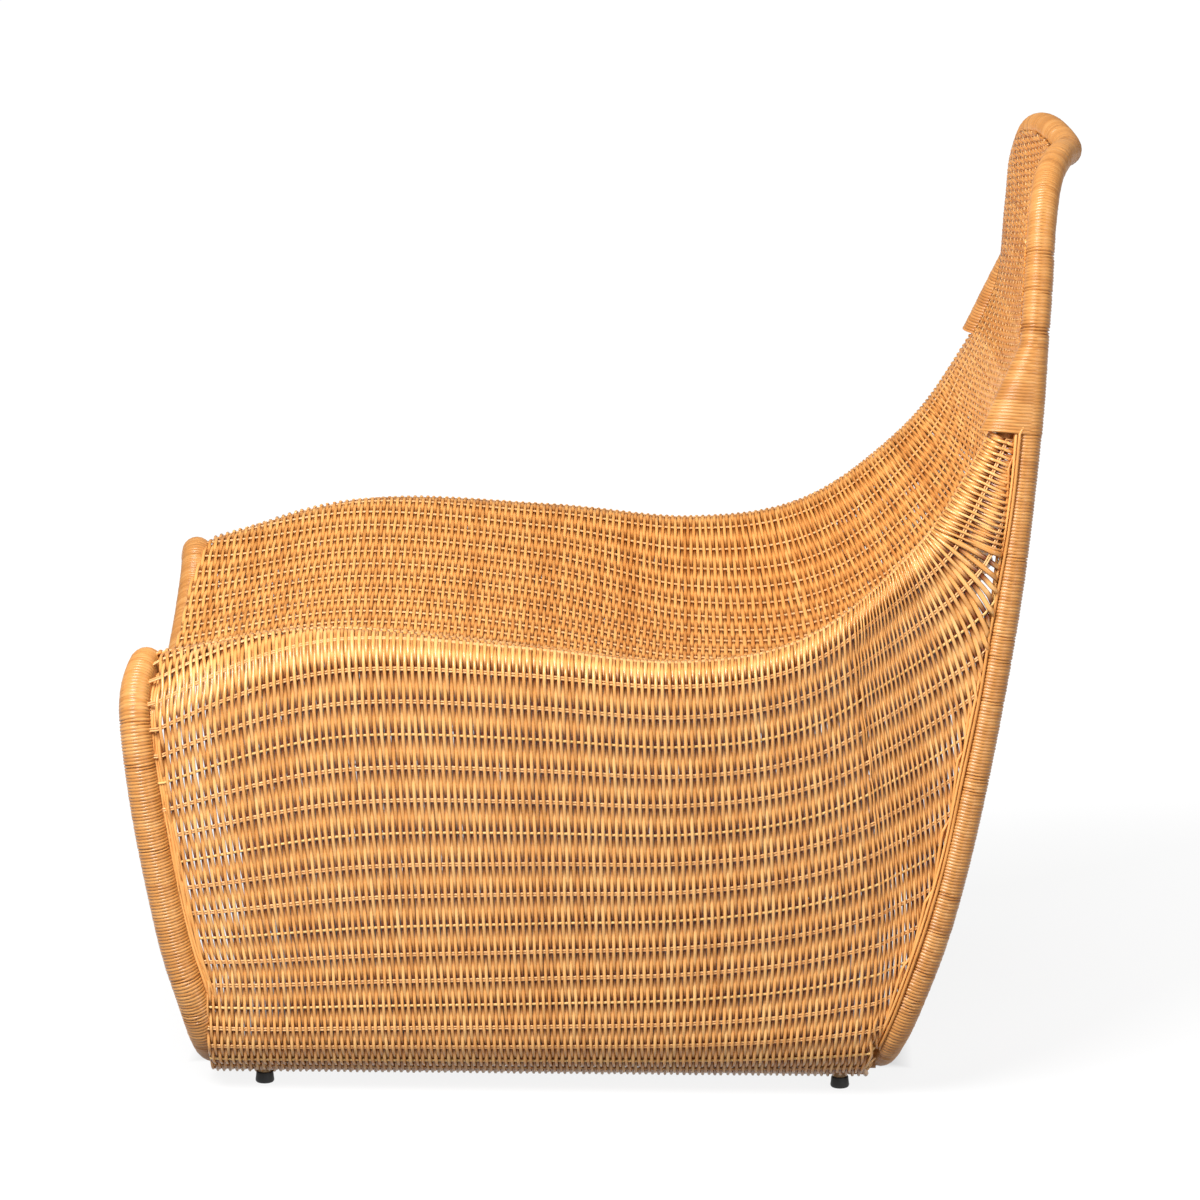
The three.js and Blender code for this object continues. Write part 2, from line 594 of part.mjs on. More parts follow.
function wrapLoft(outer, inner) {
  const points = [];
  const index = [];
  const stride = inner > 0 ? WRAP_SIDES * 2 : WRAP_SIDES;
  for (let step = 0; step <= WRAP_STEPS; step += 1) {
    points.push(...wrapRing(step, outer));
    if (inner > 0) points.push(...wrapRing(step, inner));
  }
  const quad = (a, b, c, d) => index.push(a, b, c, a, c, d);
  const top = WRAP_STEPS * stride;
  for (let i = 0; i < WRAP_SIDES; i += 1) {
    const next = (i + 1) % WRAP_SIDES;
    for (let step = 0; step < WRAP_STEPS; step += 1) {
      const base = step * stride;
      quad(base + i, base + next, base + stride + next, base + stride + i);
      if (inner > 0) {
        const wall = base + WRAP_SIDES;
        quad(wall + next, wall + i, wall + stride + i, wall + stride + next);
      }
    }
    if (inner > 0) {
      quad(next, i, WRAP_SIDES + i, WRAP_SIDES + next);
      quad(top + i, top + next, top + WRAP_SIDES + next, top + WRAP_SIDES + i);
    } else if (i > 1) {
      index.push(0, i, i - 1);
      index.push(top, top + i - 1, top + i);
    }
  }
  const geometry = new THREE.BufferGeometry();
  const positions = points.flatMap((p) => p.toArray());
  geometry.setAttribute('position', new THREE.Float32BufferAttribute(positions, 3));
  geometry.setIndex(index);
  return geometry;
}
const wrapBore = (rearRoll + CLEARANCE) / Math.cos(Math.PI / WRAP_SIDES) + CLEARANCE;
const wrapRadius = wrapBore + BINDING_THICKNESS;
placePair('wing_wrap', cut(wrapLoft(wrapRadius, wrapBore), [armRoom]), 'binding');
const wrapRoom = wrapLoft(wrapRadius + CLEARANCE, 0);

// Side floor rails: between the hoops' lower corners, bored for the feet.
const sideRailRoute = new THREE.LineCurve3(
  new THREE.Vector3(SIDE_RAIL_HALF_SPACING, FRONT_FLOOR_Y, FLOOR_RAIL_HEIGHT),
  new THREE.Vector3(SIDE_RAIL_HALF_SPACING, REAR_FLOOR_Y, FLOOR_RAIL_HEIGHT),
);
const railUnderside = FLOOR_RAIL_HEIGHT - FLOOR_RAIL_RADIUS;
const pegTop = railUnderside - PEG_TO_RAIL;
const footPlaces = { front: FRONT_FOOT_Y, rear: REAR_FOOT_Y };
function post(radius, bottom, top, y) {
  const shaft = new THREE.CylinderGeometry(radius, radius, top - bottom, ROUND_SIDES * 2);
  shaft.rotateX(Math.PI / 2);
  return shaft.translate(SIDE_RAIL_HALF_SPACING, y, (top + bottom) / 2);
}
const tenonTop = pegTop + TENON_LENGTH;
const tenonHoleRadius = TENON_RADIUS + CLEARANCE;
const tenonHoleTop = tenonTop + CLEARANCE;
const tenonHoles = Object.values(footPlaces).map((y) => post(tenonHoleRadius, 0, tenonHoleTop, y));
const sideRail = rod(sideRailRoute, FLOOR_RAIL_RADIUS, { steps: 1 });
placePair('side_floor_rail', cut(sideRail, [...frontRoom, ...rearRoom, ...tenonHoles]), 'pole');

// Feet: turned pegs with a tenon, and rubber caps with a flat sole.
function lathed(profile, y) {
  const points = profile.map(([r, z]) => new THREE.Vector2(r, z));
  const turnedPiece = new THREE.LatheGeometry(points, ROUND_SIDES * 2).rotateX(Math.PI / 2);
  return turnedPiece.translate(SIDE_RAIL_HALF_SPACING, y, 0);
}
const capRadius = PEG_RADIUS + CLEARANCE + CAP_WALL;
for (const [end, y] of Object.entries(footPlaces)) {
  const peg = [
    [0, CAP_FLOOR + CLEARANCE],
    [PEG_RADIUS, CAP_FLOOR + CLEARANCE],
    [PEG_RADIUS, pegTop],
    [TENON_RADIUS, pegTop],
    [TENON_RADIUS, tenonTop],
    [0, tenonTop],
  ];
  const cap = [
    [0, 0],
    [capRadius - CAP_EDGE_RADIUS, 0],
    [capRadius, CAP_EDGE_RADIUS],
    [capRadius, CAP_HEIGHT],
    [PEG_RADIUS + CLEARANCE, CAP_HEIGHT],
    [PEG_RADIUS + CLEARANCE, CAP_FLOOR],
    [0, CAP_FLOOR],
  ];
  placePair(`${end}_foot_peg`, lathed(peg, y), 'peg');
  placePair(`${end}_foot_cap`, lathed(cap, y), 'rubber');
}

// Woven skin: the seat, the back and the two sides, each a shell that ends against the bound hoops.
const backTop = CREST.length - 1;
function dish(from, to) {
  const surface = (u, v) => {
    const across = THREE.MathUtils.lerp(-1, 1, v) * (1 - CREST_SEAM);
    return dishPoint(THREE.MathUtils.lerp(from, to, u), across);
  };
  return shell(surface, DISH_COLUMNS, 2 * DISH_COURSES, WEAVE_THICKNESS);
}
const armRooms = [armRoom, mirror(armRoom)];
const seatRooms = [...frontRoom, ...rearRoom, ...armRooms, ...bearerRooms];
place('seat_weave', cut(dish(0, SEAT_END - SEAT_SEAM), seatRooms), 'weave');
const backRooms = [...rearRoom, ...armRooms, ...bearerRooms, wrapRoom, mirror(wrapRoom)];
place('back_weave', cut(dish(SEAT_END, backTop), backRooms), 'weave');
const side = shell(
  (u, v) => {
    const down = downToCourse(u * WING_END, v);
    return sidePoint(u * WING_END, THREE.MathUtils.lerp(SIDE_SEAM, 1, down));
  },
  SIDE_COLUMNS,
  2 * SIDE_COURSES,
  WEAVE_THICKNESS,
  (u) => THREE.MathUtils.clamp((WING_END - u * WING_END) / (WING_END - SIDE_REAR_START), 0, 1),
);
const pegRooms = Object.values(footPlaces).map((y) => post(capRadius + CLEARANCE, 0, FLOOR_RAIL_HEIGHT, y));
const sideRailRoom = rod(sideRailRoute, FLOOR_RAIL_RADIUS + CLEARANCE, { steps: 1 });
const sideRooms = [...frontRoom, ...rearRoom, armRoom, wrapRoom, sideRailRoom, ...headRooms, ...pegRooms];
placePair('side_weave', cut(side, sideRooms), 'weave');

// The origin lies on the floor under the middle of the chair.
const middle = new THREE.Box3().setFromObject(chair).getCenter(new THREE.Vector3());
chair.position.y = -middle.y;

export default chair;
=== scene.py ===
import bpy
import numpy as np
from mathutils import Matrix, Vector


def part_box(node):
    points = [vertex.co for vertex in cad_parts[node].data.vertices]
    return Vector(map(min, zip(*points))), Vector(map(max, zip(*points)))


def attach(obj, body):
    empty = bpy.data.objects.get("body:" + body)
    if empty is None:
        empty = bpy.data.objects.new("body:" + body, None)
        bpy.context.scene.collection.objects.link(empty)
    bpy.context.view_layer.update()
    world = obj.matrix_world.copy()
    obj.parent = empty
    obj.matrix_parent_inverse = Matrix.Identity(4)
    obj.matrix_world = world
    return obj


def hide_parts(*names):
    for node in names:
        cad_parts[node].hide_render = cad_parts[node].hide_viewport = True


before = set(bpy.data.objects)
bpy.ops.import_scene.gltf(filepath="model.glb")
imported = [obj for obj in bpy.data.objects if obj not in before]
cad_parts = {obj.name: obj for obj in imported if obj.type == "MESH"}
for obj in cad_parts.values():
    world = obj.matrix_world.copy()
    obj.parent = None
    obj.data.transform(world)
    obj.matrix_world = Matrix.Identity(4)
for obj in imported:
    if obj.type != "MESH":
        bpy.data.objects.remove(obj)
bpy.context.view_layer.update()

# Front hoop: a thick rattan pole, bent into a loop that makes both front legs, the ends of the arms and
# the dipping front edge of the seat. Split cane is wound round it, turn beside turn.
FOOT_TO_MIDDLE = 0.294
foot_low, foot_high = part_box("front_foot_cap_left")
MIDDLE = np.array([0, (foot_low.y + foot_high.y) / 2 + FOOT_TO_MIDDLE, 0])
FORWARD = np.array([0.0, -1.0, 0.0])
OUTWARD = np.array([1.0, 0.0, 0.0])
MIRROR = np.array([-1.0, 1.0, 1.0])
FRONT_HOOP = MIDDLE + 0.001 * np.array([
    [0, -336, 27], [130, -336, 27], [225, -338, 27], [278, -343, 47], [300, -354, 92],
    [303, -369, 145], [303, -388, 243], [298, -399, 321], [281, -402, 362], [240, -397, 382],
    [198, -396, 361], [110, -397, 323], [0, -398, 294]])
FRONT_LEG_START, FRONT_CORNER, FAR_CORNER = 1.6, 9.5, 14.5
FRONT_ROLL, ROD_SIDES, HOOP_ROWS = 0.0144, 20, 3000
TURN_WIDTH, TURN_ROWS, TURN_DEPTH = 0.0029, 6, 0.0011
TURN_POWER, TURN_VARIES, TURN_MEAN = 3.4, 0.0003, 0.6
LOOSE_FROM, LOOSE_POWER, LOOSE_DEPTH = 0.93, 1.5, 2.2
TURN_TONE, TURN_TONES = 0.3, 0.4
TONE_SCALE, TONE_DETAIL, TONE_DRIFT = 38, 4, 0.55
DEEPEST, SHALLOWEST = -0.9, -0.05
SMOOTHER, ROUGHER = 0.08, 0.1
GRAIN_STRENGTH, GRAIN_HEIGHT = 0.25, 0.0003
rng = np.random.default_rng(7)


def cubic(a, b, c, d, f):
    """The uniform Catmull-Rom cubic: the value at a part f of the way from b to c, which lie between a
    and d."""
    return 0.5 * (2 * b + (c - a) * f + (2 * a - 5 * b + 4 * c - d) * f**2 + (3 * b - a - 3 * c + d) * f**3)


def on_hoop(half, number):
    """A point of a closed hoop: the cubic through half of the hoop's points and their mirror images,
    where number counts points along the hoop."""
    ring = np.vstack([half, half[-2:0:-1] * MIRROR])
    i = np.floor(number).astype(int)
    return cubic(*(ring[(i + k) % len(ring)] for k in (-1, 0, 1, 2)), (number - i)[..., None])


def lengths(path):
    """The length along each path from its start to each of its points."""
    steps = np.linalg.norm(np.diff(path, axis=-2), axis=-1)
    return np.concatenate([np.zeros(steps.shape[:-1] + (1,)), np.cumsum(steps, axis=-1)], axis=-1)


def even_stretch(half, start, stop, spacing):
    """Points at even spacing along a stretch of a hoop, between two of its point numbers."""
    number = np.linspace(start, stop, HOOP_ROWS)
    length = lengths(on_hoop(half, number))
    goal = np.linspace(0, length[-1], int(length[-1] / spacing) + 1)
    return on_hoop(half, np.interp(goal, length, number))


def unit(vectors):
    """The vectors divided by their lengths."""
    return vectors / np.linalg.norm(vectors, axis=-1, keepdims=True)


def circle(sides):
    """Angles at even steps round a section."""
    return np.arange(sides) * 2 * np.pi / sides


def sweep(path, toward, wide, high):
    """Carries a closed section along paths: each point is the path's point, plus wide times the side
    direction, plus high times the toward direction made square to the path."""
    along = unit(np.gradient(path, axis=-2))
    out = unit(toward - along * np.sum(toward * along, axis=-1, keepdims=True))
    across = np.cross(along, out)
    return path[..., None, :] + across[..., None, :] * wide[..., None] + out[..., None, :] * high[..., None]


def tube(path, toward, radius, sides):
    """A round section along paths: the radius times the cosine to the side, and times the sine toward."""
    angle = circle(sides)
    return sweep(path, toward, radius * np.cos(angle), radius * np.sin(angle))


def tube_faces(tubes, rings, sides):
    """Four-sided faces of closed tubes: walls between neighbouring rings, and a strip across each end."""
    ring = np.arange(rings - 1)[:, None] * sides
    here = np.arange(sides)
    after = (here + 1) % sides
    wall = np.stack([ring + here, ring + sides + here, ring + sides + after, ring + after], axis=-1)
    c = np.arange(sides // 2 - 1)
    start = np.stack([c, c + 1, sides - 2 - c, sides - 1 - c], axis=-1)
    stop = start[:, ::-1] + (rings - 1) * sides
    one = np.vstack([wall.reshape(-1, 4), start, stop])
    return (one[None] + (np.arange(tubes) * rings * sides)[:, None, None]).reshape(-1, 4)


def make_piece(name, points, faces, finish, slot, *nodes, **traits):
    """A smooth mesh at the origin, with one number a point for each trait, riding on the chair."""
    mesh = bpy.data.meshes.new(name)
    points = np.ascontiguousarray(points.reshape(-1, 3), dtype=np.float32)
    mesh.vertices.add(len(points))
    mesh.vertices.foreach_set("co", points.ravel())
    mesh.loops.add(faces.size)
    mesh.loops.foreach_set("vertex_index", np.ascontiguousarray(faces.ravel(), dtype=np.int32))
    mesh.polygons.add(len(faces))
    mesh.polygons.foreach_set("loop_start", np.arange(0, faces.size, 4, dtype=np.int32))
    mesh.polygons.foreach_set("use_smooth", np.ones(len(faces), dtype=bool))
    for trait, values in traits.items():
        layer = mesh.attributes.new(trait, "FLOAT", "POINT")
        layer.data.foreach_set("value", np.ascontiguousarray(values.ravel(), dtype=np.float32))
    mesh.update(calc_edges=True)
    mesh.materials.append(finish)
    piece = bpy.data.objects.new(name, mesh)
    bpy.context.scene.collection.objects.link(piece)
    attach(piece, "root")
    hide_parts(*nodes)


def make_pair(name, points, faces, finish, slot, node, **traits):
    """A left piece and its mirror image on the right, each in place of its own side's node."""
    make_piece(name + "_left", points, faces, finish, slot, node + "_left", **traits)
    make_piece(name + "_right", points * MIRROR, faces[:, ::-1], finish, slot, node + "_right", **traits)


def math_node(tree, operation, *sources):
    """The output of a math node whose inputs are other nodes' outputs or plain numbers."""
    node = tree.nodes.new("ShaderNodeMath")
    node.operation = operation
    for source, place in zip(sources, node.inputs):
        if isinstance(source, float):
            place.default_value = source
        else:
            tree.links.new(source, place)
    return node.outputs[0]


def map_node(tree, source, start, stop, low, high, clamp=True):
    """The output of a node that carries the range from start to stop over to the one from low to high."""
    node = tree.nodes.new("ShaderNodeMapRange")
    node.clamp = clamp
    for name, value in (("From Min", start), ("From Max", stop), ("To Min", low), ("To Max", high)):
        node.inputs[name].default_value = value
    tree.links.new(source, node.inputs["Value"])
    return node.outputs["Result"]


def noise_node(tree, scale, detail=2):
    """The output of a noise in the object's own coordinates."""
    node = tree.nodes.new("ShaderNodeTexNoise")
    node.inputs["Scale"].default_value = scale
    node.inputs["Detail"].default_value = detail
    tree.links.new(tree.nodes.new("ShaderNodeTexCoord").outputs["Object"], node.inputs["Vector"])
    return node.outputs["Fac"]


def trait_node(tree, name):
    """The output that gives a trait of the mesh."""
    node = tree.nodes.new("ShaderNodeAttribute")
    node.attribute_name = name
    return node.outputs["Fac"]


def ramp_node(tree, source, *colours):
    """The output of a ramp with its colours at even steps from nought to one."""
    node = tree.nodes.new("ShaderNodeValToRGB")
    steps = node.color_ramp.elements
    steps[0].color = (*colours[0], 1)
    steps[1].color = (*colours[-1], 1)
    for number, colour in enumerate(colours[1:-1], 1):
        steps.new(number / (len(colours) - 1)).color = (*colour, 1)
    tree.links.new(source, node.inputs["Fac"])
    return node.outputs["Color"]


def cane_finish(name, brown, honey, straw, dull, shade_and_scar, grain, gloss=0.34):
    """Rattan: the tone of a strand runs from brown over honey to straw and drifts along it. Where lift is
    low
    the colour goes over to a darker one: painted shade on sunken strands and in the grooves between turns
    of binding, and the scar beside a bare pole's ring. A fine grain roughens the surface."""
    finish = bpy.data.materials.new(name)
    finish.use_nodes = True
    tree = finish.node_tree
    shader = tree.nodes["Principled BSDF"]
    drift = noise_node(tree, TONE_SCALE, TONE_DETAIL)
    drift = math_node(tree, "MULTIPLY_ADD", drift, TONE_DRIFT, -TONE_DRIFT / 2)
    tone = math_node(tree, "ADD", trait_node(tree, "tone"), drift)
    # Painted shade: the darker colour is mixed in where lift is low, on sunken strands and in binding
    # grooves.
    depth = map_node(tree, trait_node(tree, "lift"), DEEPEST, SHALLOWEST, 1, 0)
    shade = tree.nodes.new("ShaderNodeMix")
    shade.data_type = "RGBA"
    shade.inputs["B"].default_value = (*shade_and_scar, 1)
    tree.links.new(depth, shade.inputs["Factor"])
    tree.links.new(ramp_node(tree, tone, brown, honey, straw), shade.inputs["A"])
    tree.links.new(shade.outputs["Result"], shader.inputs["Base Color"])
    fibre = noise_node(tree, grain)
    sheen = map_node(tree, fibre, 0, 1, dull - SMOOTHER, dull + ROUGHER)
    tree.links.new(sheen, shader.inputs["Roughness"])
    bump = tree.nodes.new("ShaderNodeBump")
    bump.inputs["Strength"].default_value = GRAIN_STRENGTH
    bump.inputs["Distance"].default_value = GRAIN_HEIGHT
    tree.links.new(fibre, bump.inputs["Height"])
    tree.links.new(bump.outputs["Normal"], shader.inputs["Normal"])
    shader.inputs["Specular IOR Level"].default_value = gloss
    return finish


# Bound cane: its darker colour is painted shade in the grooves between turns.
BOUND_CANE = cane_finish("bound_cane", (0.39, 0.14, 0.026), (0.61, 0.265, 0.066), (0.75, 0.395, 0.135),
                         dull=0.32, shade_and_scar=(0.08, 0.02, 0.0025), grain=900, gloss=0.5)
POLE_RATTAN = cane_finish("pole_rattan", (0.36, 0.14, 0.03), (0.56, 0.25, 0.07), (0.68, 0.36, 0.13),
                          dull=0.46, shade_and_scar=(0.3, 0.12, 0.03), grain=500)


def turns(rows, angle):
    """For each row and angle of a winding that climbs one turn's width a round: the number of the turn,
    and the distance from that turn's middle, which is one at the turn's edge."""
    place = np.arange(rows)[:, None] / TURN_ROWS + angle / (2 * np.pi)
    number = np.floor(place).astype(int)
    return number, np.abs(2 * (place - number) - 1)


def wound(make, name, hoop, start, stop, radius):
    """A stretch of a hoop wound with cane, as one piece or a pair. Across each turn the radius rises from
    its groove and falls again as one less a power of the distance from the turn's middle. A few turns
    are loose, with a lower power and deeper grooves."""
    path = even_stretch(hoop, start, stop, TURN_WIDTH / TURN_ROWS)
    number, aside = turns(len(path), circle(ROD_SIDES))
    draws = rng.random((number.max() + 1, 3))
    loose = draws[number, 1] > LOOSE_FROM
    crown = 1 - aside ** np.where(loose, LOOSE_POWER, TURN_POWER)
    proud = (draws[number, 0] - TURN_MEAN) * TURN_VARIES
    reach = radius - TURN_DEPTH * np.where(loose, LOOSE_DEPTH, 1.0) * (1 - crown) + proud * crown
    # The lift, high on each turn's crown and low in its groove, lets the finish paint shade into the
    # grooves.
    make("wound_" + name, tube(path, FORWARD, reach, ROD_SIDES), tube_faces(1, len(path), ROD_SIDES),
         BOUND_CANE, "binding", name, tone=draws[number, 2] * TURN_TONES + TURN_TONE, lift=2 * crown - 1)


wound(make_pair, "front_leg_binding", FRONT_HOOP, FRONT_LEG_START, FRONT_CORNER, FRONT_ROLL)
wound(make_piece, "seat_front_binding", FRONT_HOOP, FRONT_CORNER, FAR_CORNER, FRONT_ROLL)

# Rear hoop: a thinner pole, bent into the rear legs, the wings and the arch round the back, and bound
# with the same cane from the floor up.
REAR_HOOP = MIDDLE + 0.001 * np.array([
    [0, 255, 27], [130, 255, 27], [225, 257, 27], [280, 265, 47], [302, 283, 92], [307, 310, 172],
    [303, 337, 290], [288, 364, 445], [268, 379, 570], [247, 387, 672], [230, 391, 728],
    [207, 394, 776], [160, 401, 808], [92, 413, 818], [0, 425, 813]])
REAR_LEG_START, ARCH_START, ARCH_END = 1.7, 9, 19
REAR_ROLL = 0.0129
wound(make_pair, "rear_leg_binding", REAR_HOOP, REAR_LEG_START, ARCH_START, REAR_ROLL)
wound(make_piece, "back_arch_binding", REAR_HOOP, ARCH_START, ARCH_END, REAR_ROLL)

# Crest of the chair: the line that the woven skin turns over, from the front hoop along the arm, up the
# wing and round the back. Each row gives half width, Y, Z, dish depth, dish power, lean and shoulder.
CREST = np.array([
    [243, -394, 390, 83.5, 1.2, -6, 60], [287, -238, 425, 92.5, 1.2, -2, 31],
    [311, -60, 416, 97, 1.4, 0, 24], [315, 80, 404, 108, 2.4, 3, 22],
    [308, 190, 425, 122, 2.6, 25, 18], [287, 282, 497, 110, 2.1, 46, 14],
    [266, 335, 573, 38, 2, 60, 12], [249, 370, 648, 18, 2, 68, 12],
    [230, 378, 726, 24, 2, 85, 12], [207, 381, 774, 27, 2, 88, 12],
    [160, 388, 805, 23, 2, 88, 12], [95, 400, 815, 12, 2, 88, 12],
]) * [0.001, 0.001, 0.001, 0.001, 1, np.pi / 180, 0.001]
CREST[:, 1] += MIDDLE[1]
CREST_ROUNDING, MIDDLE_ROUNDING = 0.026, 0.15


def crest_at(station):
    """The crest's row at any station: the cubic through the rows, with one more row laid on in line at
    each end."""
    rows = np.vstack([2 * CREST[0] - CREST[1], CREST, 2 * CREST[-1] - CREST[-2]])
    i = np.clip(np.floor(station).astype(int), 0, len(CREST) - 2)
    return np.moveaxis(cubic(*(rows[i + k] for k in range(4)), (station - i)[..., None]), -1, 0)


def dish_at(station, across, below=0.0):
    """A point of the seat and back. It lies under the straight line between the crests by the dish depth
    times one less a power of the distance from the middle, and is rounded at the middle and the crest."""
    half, y, z, depth, power, lean, _ = crest_at(station)
    whole = np.hypot(1, MIDDLE_ROUNDING) - MIDDLE_ROUNDING
    away = (np.hypot(across, MIDDLE_ROUNDING) - MIDDLE_ROUNDING) / whole
    slope = power * depth / half / np.hypot(1, MIDDLE_ROUNDING) / whole
    rounded = np.maximum(0, (np.abs(across) - 1) * half + CREST_ROUNDING)
    fall = depth * (1 - away**power) - slope * (CREST_ROUNDING - rounded**2 / CREST_ROUNDING) / 2 + below
    return np.stack([across * half, y + fall * np.sin(lean), z - fall * np.cos(lean)], axis=-1)


# Inner frame: arm rails under the crests, and three bent bearers that carry the dish and end at the arm
# rails. They are bare rattan poles with low rings at their nodes.
RAIL_START, RAIL_END, RAIL_ROWS, BEARER_ROWS = 0.06, 6.75, 400, 240
RAIL_RADIUS, RAIL_BELOW, RAIL_INSET, RAIL_RINGS = 0.009, 0.0138, 0.003, 0.31
BEARER_RADIUS, BEARER_BELOW, BEARER_REACH, BEARER_RINGS = 0.008, 0.0128, 0.95, 0.27
POLE_SIDES = 16
RING_START, RING_WIDE, RING_SWELL, RING_BROWN = 0.37, 0.0035, 0.0007, 0.35
SCAR_BESIDE, SCAR_WIDE, SCAR_DEPTH = 0.003, 0.0012, 0.9
POLE_TONE, POLE_DRIFT, POLE_DRIFTS = 0.5, 0.12, 31


def bare_pole(make, name, path, toward, radius, ring_gap):
    """A bare pole, as one piece or a pair: a round section whose radius swells by a narrow bell curve at
    each node ring. It is browner there, with a dark scar beside the ring."""
    length = lengths(path)
    from_ring = ((length / ring_gap + RING_START) % 1 - 0.5) * ring_gap
    swell = np.exp(-((from_ring / RING_WIDE) ** 2))
    scar = np.exp(-(((from_ring - SCAR_BESIDE) / SCAR_WIDE) ** 2))
    tone = POLE_TONE - RING_BROWN * swell + POLE_DRIFT * np.sin(length * POLE_DRIFTS)
    points = tube(path, toward, (radius + RING_SWELL * swell)[:, None], POLE_SIDES)
    make("bare_" + name, points, tube_faces(1, len(path), POLE_SIDES), POLE_RATTAN, "pole", name,
         tone=np.repeat(tone, POLE_SIDES), lift=np.repeat(1 - SCAR_DEPTH * scar, POLE_SIDES))


half, y, z, _, _, lean, _ = crest_at(np.linspace(RAIL_START, RAIL_END, RAIL_ROWS))
rail = np.stack([half - RAIL_INSET, y + RAIL_BELOW * np.sin(lean), z - RAIL_BELOW * np.cos(lean)], axis=-1)
bare_pole(make_pair, "arm_rail", rail, OUTWARD, RAIL_RADIUS, RAIL_RINGS)
across = np.linspace(-BEARER_REACH, BEARER_REACH, BEARER_ROWS)
for name, station in (("seat_bearer_front", 1.4), ("seat_bearer_rear", 3.4), ("back_bearer", 5.5)):
    bearer = dish_at(np.full(across.shape, station), across, BEARER_BELOW)
    bare_pole(make_piece, name, bearer, FORWARD, BEARER_RADIUS, BEARER_RINGS)

# Floor rails: bare poles that close both hoops at the floor, and one along the foot of each side, which
# the feet go up into.
FLOOR_RINGS, FLOOR_ROWS = 0.21, 300
SIDE_RAIL_RADIUS, SIDE_RAIL_RINGS = 0.009, 0.24
for name, hoop, stop, radius in (("front_floor_rail", FRONT_HOOP, 1.62, 0.012),
                                 ("rear_floor_rail", REAR_HOOP, 1.72, 0.0105)):
    rail = on_hoop(hoop, np.linspace(-stop, stop, FLOOR_ROWS))
    bare_pole(make_piece, name, rail, FORWARD, radius, FLOOR_RINGS)
low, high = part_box("side_floor_rail_left")
rail = np.stack([np.full(FLOOR_ROWS, (low.x + high.x) / 2), np.linspace(low.y, high.y, FLOOR_ROWS),
                 np.full(FLOOR_ROWS, (low.z + high.z) / 2)], axis=-1)
bare_pole(make_pair, "side_floor_rail", rail, OUTWARD, SIDE_RAIL_RADIUS, SIDE_RAIL_RINGS)

# Woven sides: thin strands run from the crest down to the floor, over and under level ribs. Toward the
# rear they fan out to the rear leg, and on the wing they run straight back to it. They turn over the
# shoulder and curl in at the floor.
SIDE_WIDTH, SKIRT, SKIRT_HEIGHT = 0.303, 0.052, 0.0142
FRONT_FOOT, REAR_FOOT = -0.336 + MIDDLE[1], 0.247 + MIDDLE[1]
FRONT_LANE, LANE_FOOT, LANE_RISE = 0.0195, 0.03, 0.09
REAR_LANE, LEG_FAN, FAN_RISE, LEAST_FAN = 0.012, 0.138, 0.11, 0.001
SIDE_START, FLOOR_END, SPLIT, WING_END = 0.085, 4.42, 5.3, 6.35
LEG_START, LEG_STOP, LEG_ROWS = 2.05, 8.4, 900
LEG_FOOT, LEG_SPLIT, WING_POINT = 0.033, 0.495, 8.2
LEG_SHORT, LEG_CURL, LEAST_CURL, CURL_CHANGE = 0.0105, 0.017, 0.001, 0.3
SHOULDER_DROP, SETTLING, FRONT_BEND = 0.004, 0.07, 0.45
FLOOR_STRANDS, LEG_STRANDS, WING_STRANDS, SIDE_THIRD = 208, 57, 36, 86
REAR_CLOSER, CLOSER_POWER = 0.04, 8
FINE, PATH_ROWS, RIB_ROWS, STRAND_ROWS, WING_ROWS = 1200, 97, 161, 101, 29
FIRST_RIB, LAST_RIB = -2, 18
EVEN_RIBS, CURL_RIBS, FRONT_RIBS, FRONT_FADE, REAR_CLIMB = 15.3, 2.7, 3, 5.8, 1.73
CURL_POWER, FRONT_POWER, CLIMB_POWER = 6, 1.3, 1.6
STRAND_SIDES, STRAND_HIGH, NARROWEST, WIDEST = 6, 0.0024, 0.0015, 0.0048
WIDTH_BETWEEN, NARROWING, WIDTH_LEAST, WIDTH_VARIES = 1.05, 0.15, 0.96, 0.08
LIFT, WAVE_POWER, CREST_FLAT, FLAT_RIBS = 0.0021, 1.3, 0.6, 0.3
LIFT_LEAST, LIFT_VARIES = 0.9, 0.2
WANDER, SLOW_WANDER, QUICK_WANDER, PHASES = 0.00022, 0.9, 2.3, 6.3
STRAND_TONE, STRAND_TONES, TONE_ALONG = 0.2, 0.6, 0.08
TIGHT, FRONT_SLACK, FRONT_SLACK_COUNT, FAN_SLACK, FAN_SLACK_COUNT = 1.1, 0.1, 26.0, 0.08, 14.0
WING_GAP_LOW, WING_GAP_HIGH, WING_TIGHT = 0.030, 0.021, 1.05


def even_stations(start, stop, count):
    """Stations along the crest at even steps of Y."""
    fine = np.linspace(start, stop, FINE)
    y = crest_at(fine)[1]
    return np.interp(np.linspace(y[0], y[-1], count), y, fine)


def strand_share(part):
    """The share of the floor strands passed at a part of the way along the crest. It rises evenly, and
    faster near the rear end by a high power, where the strands lie closer."""
    return (1 - REAR_CLOSER) * part + REAR_CLOSER * part**CLOSER_POWER


def row_lookup(goal, table, values):
    """Values at goals, row by row, on straight lines between the entries of rising tables."""
    i = np.clip(np.sum(table[:, None, :] < goal[..., None], axis=-1), 1, table.shape[1] - 1)
    row = np.arange(len(table))[:, None]
    f = (goal - table[row, i - 1]) / (table[row, i] - table[row, i - 1])
    f = f.reshape(f.shape + (1,) * (values.ndim - 2))
    return values[row, i - 1] + (values[row, i] - values[row, i - 1]) * f


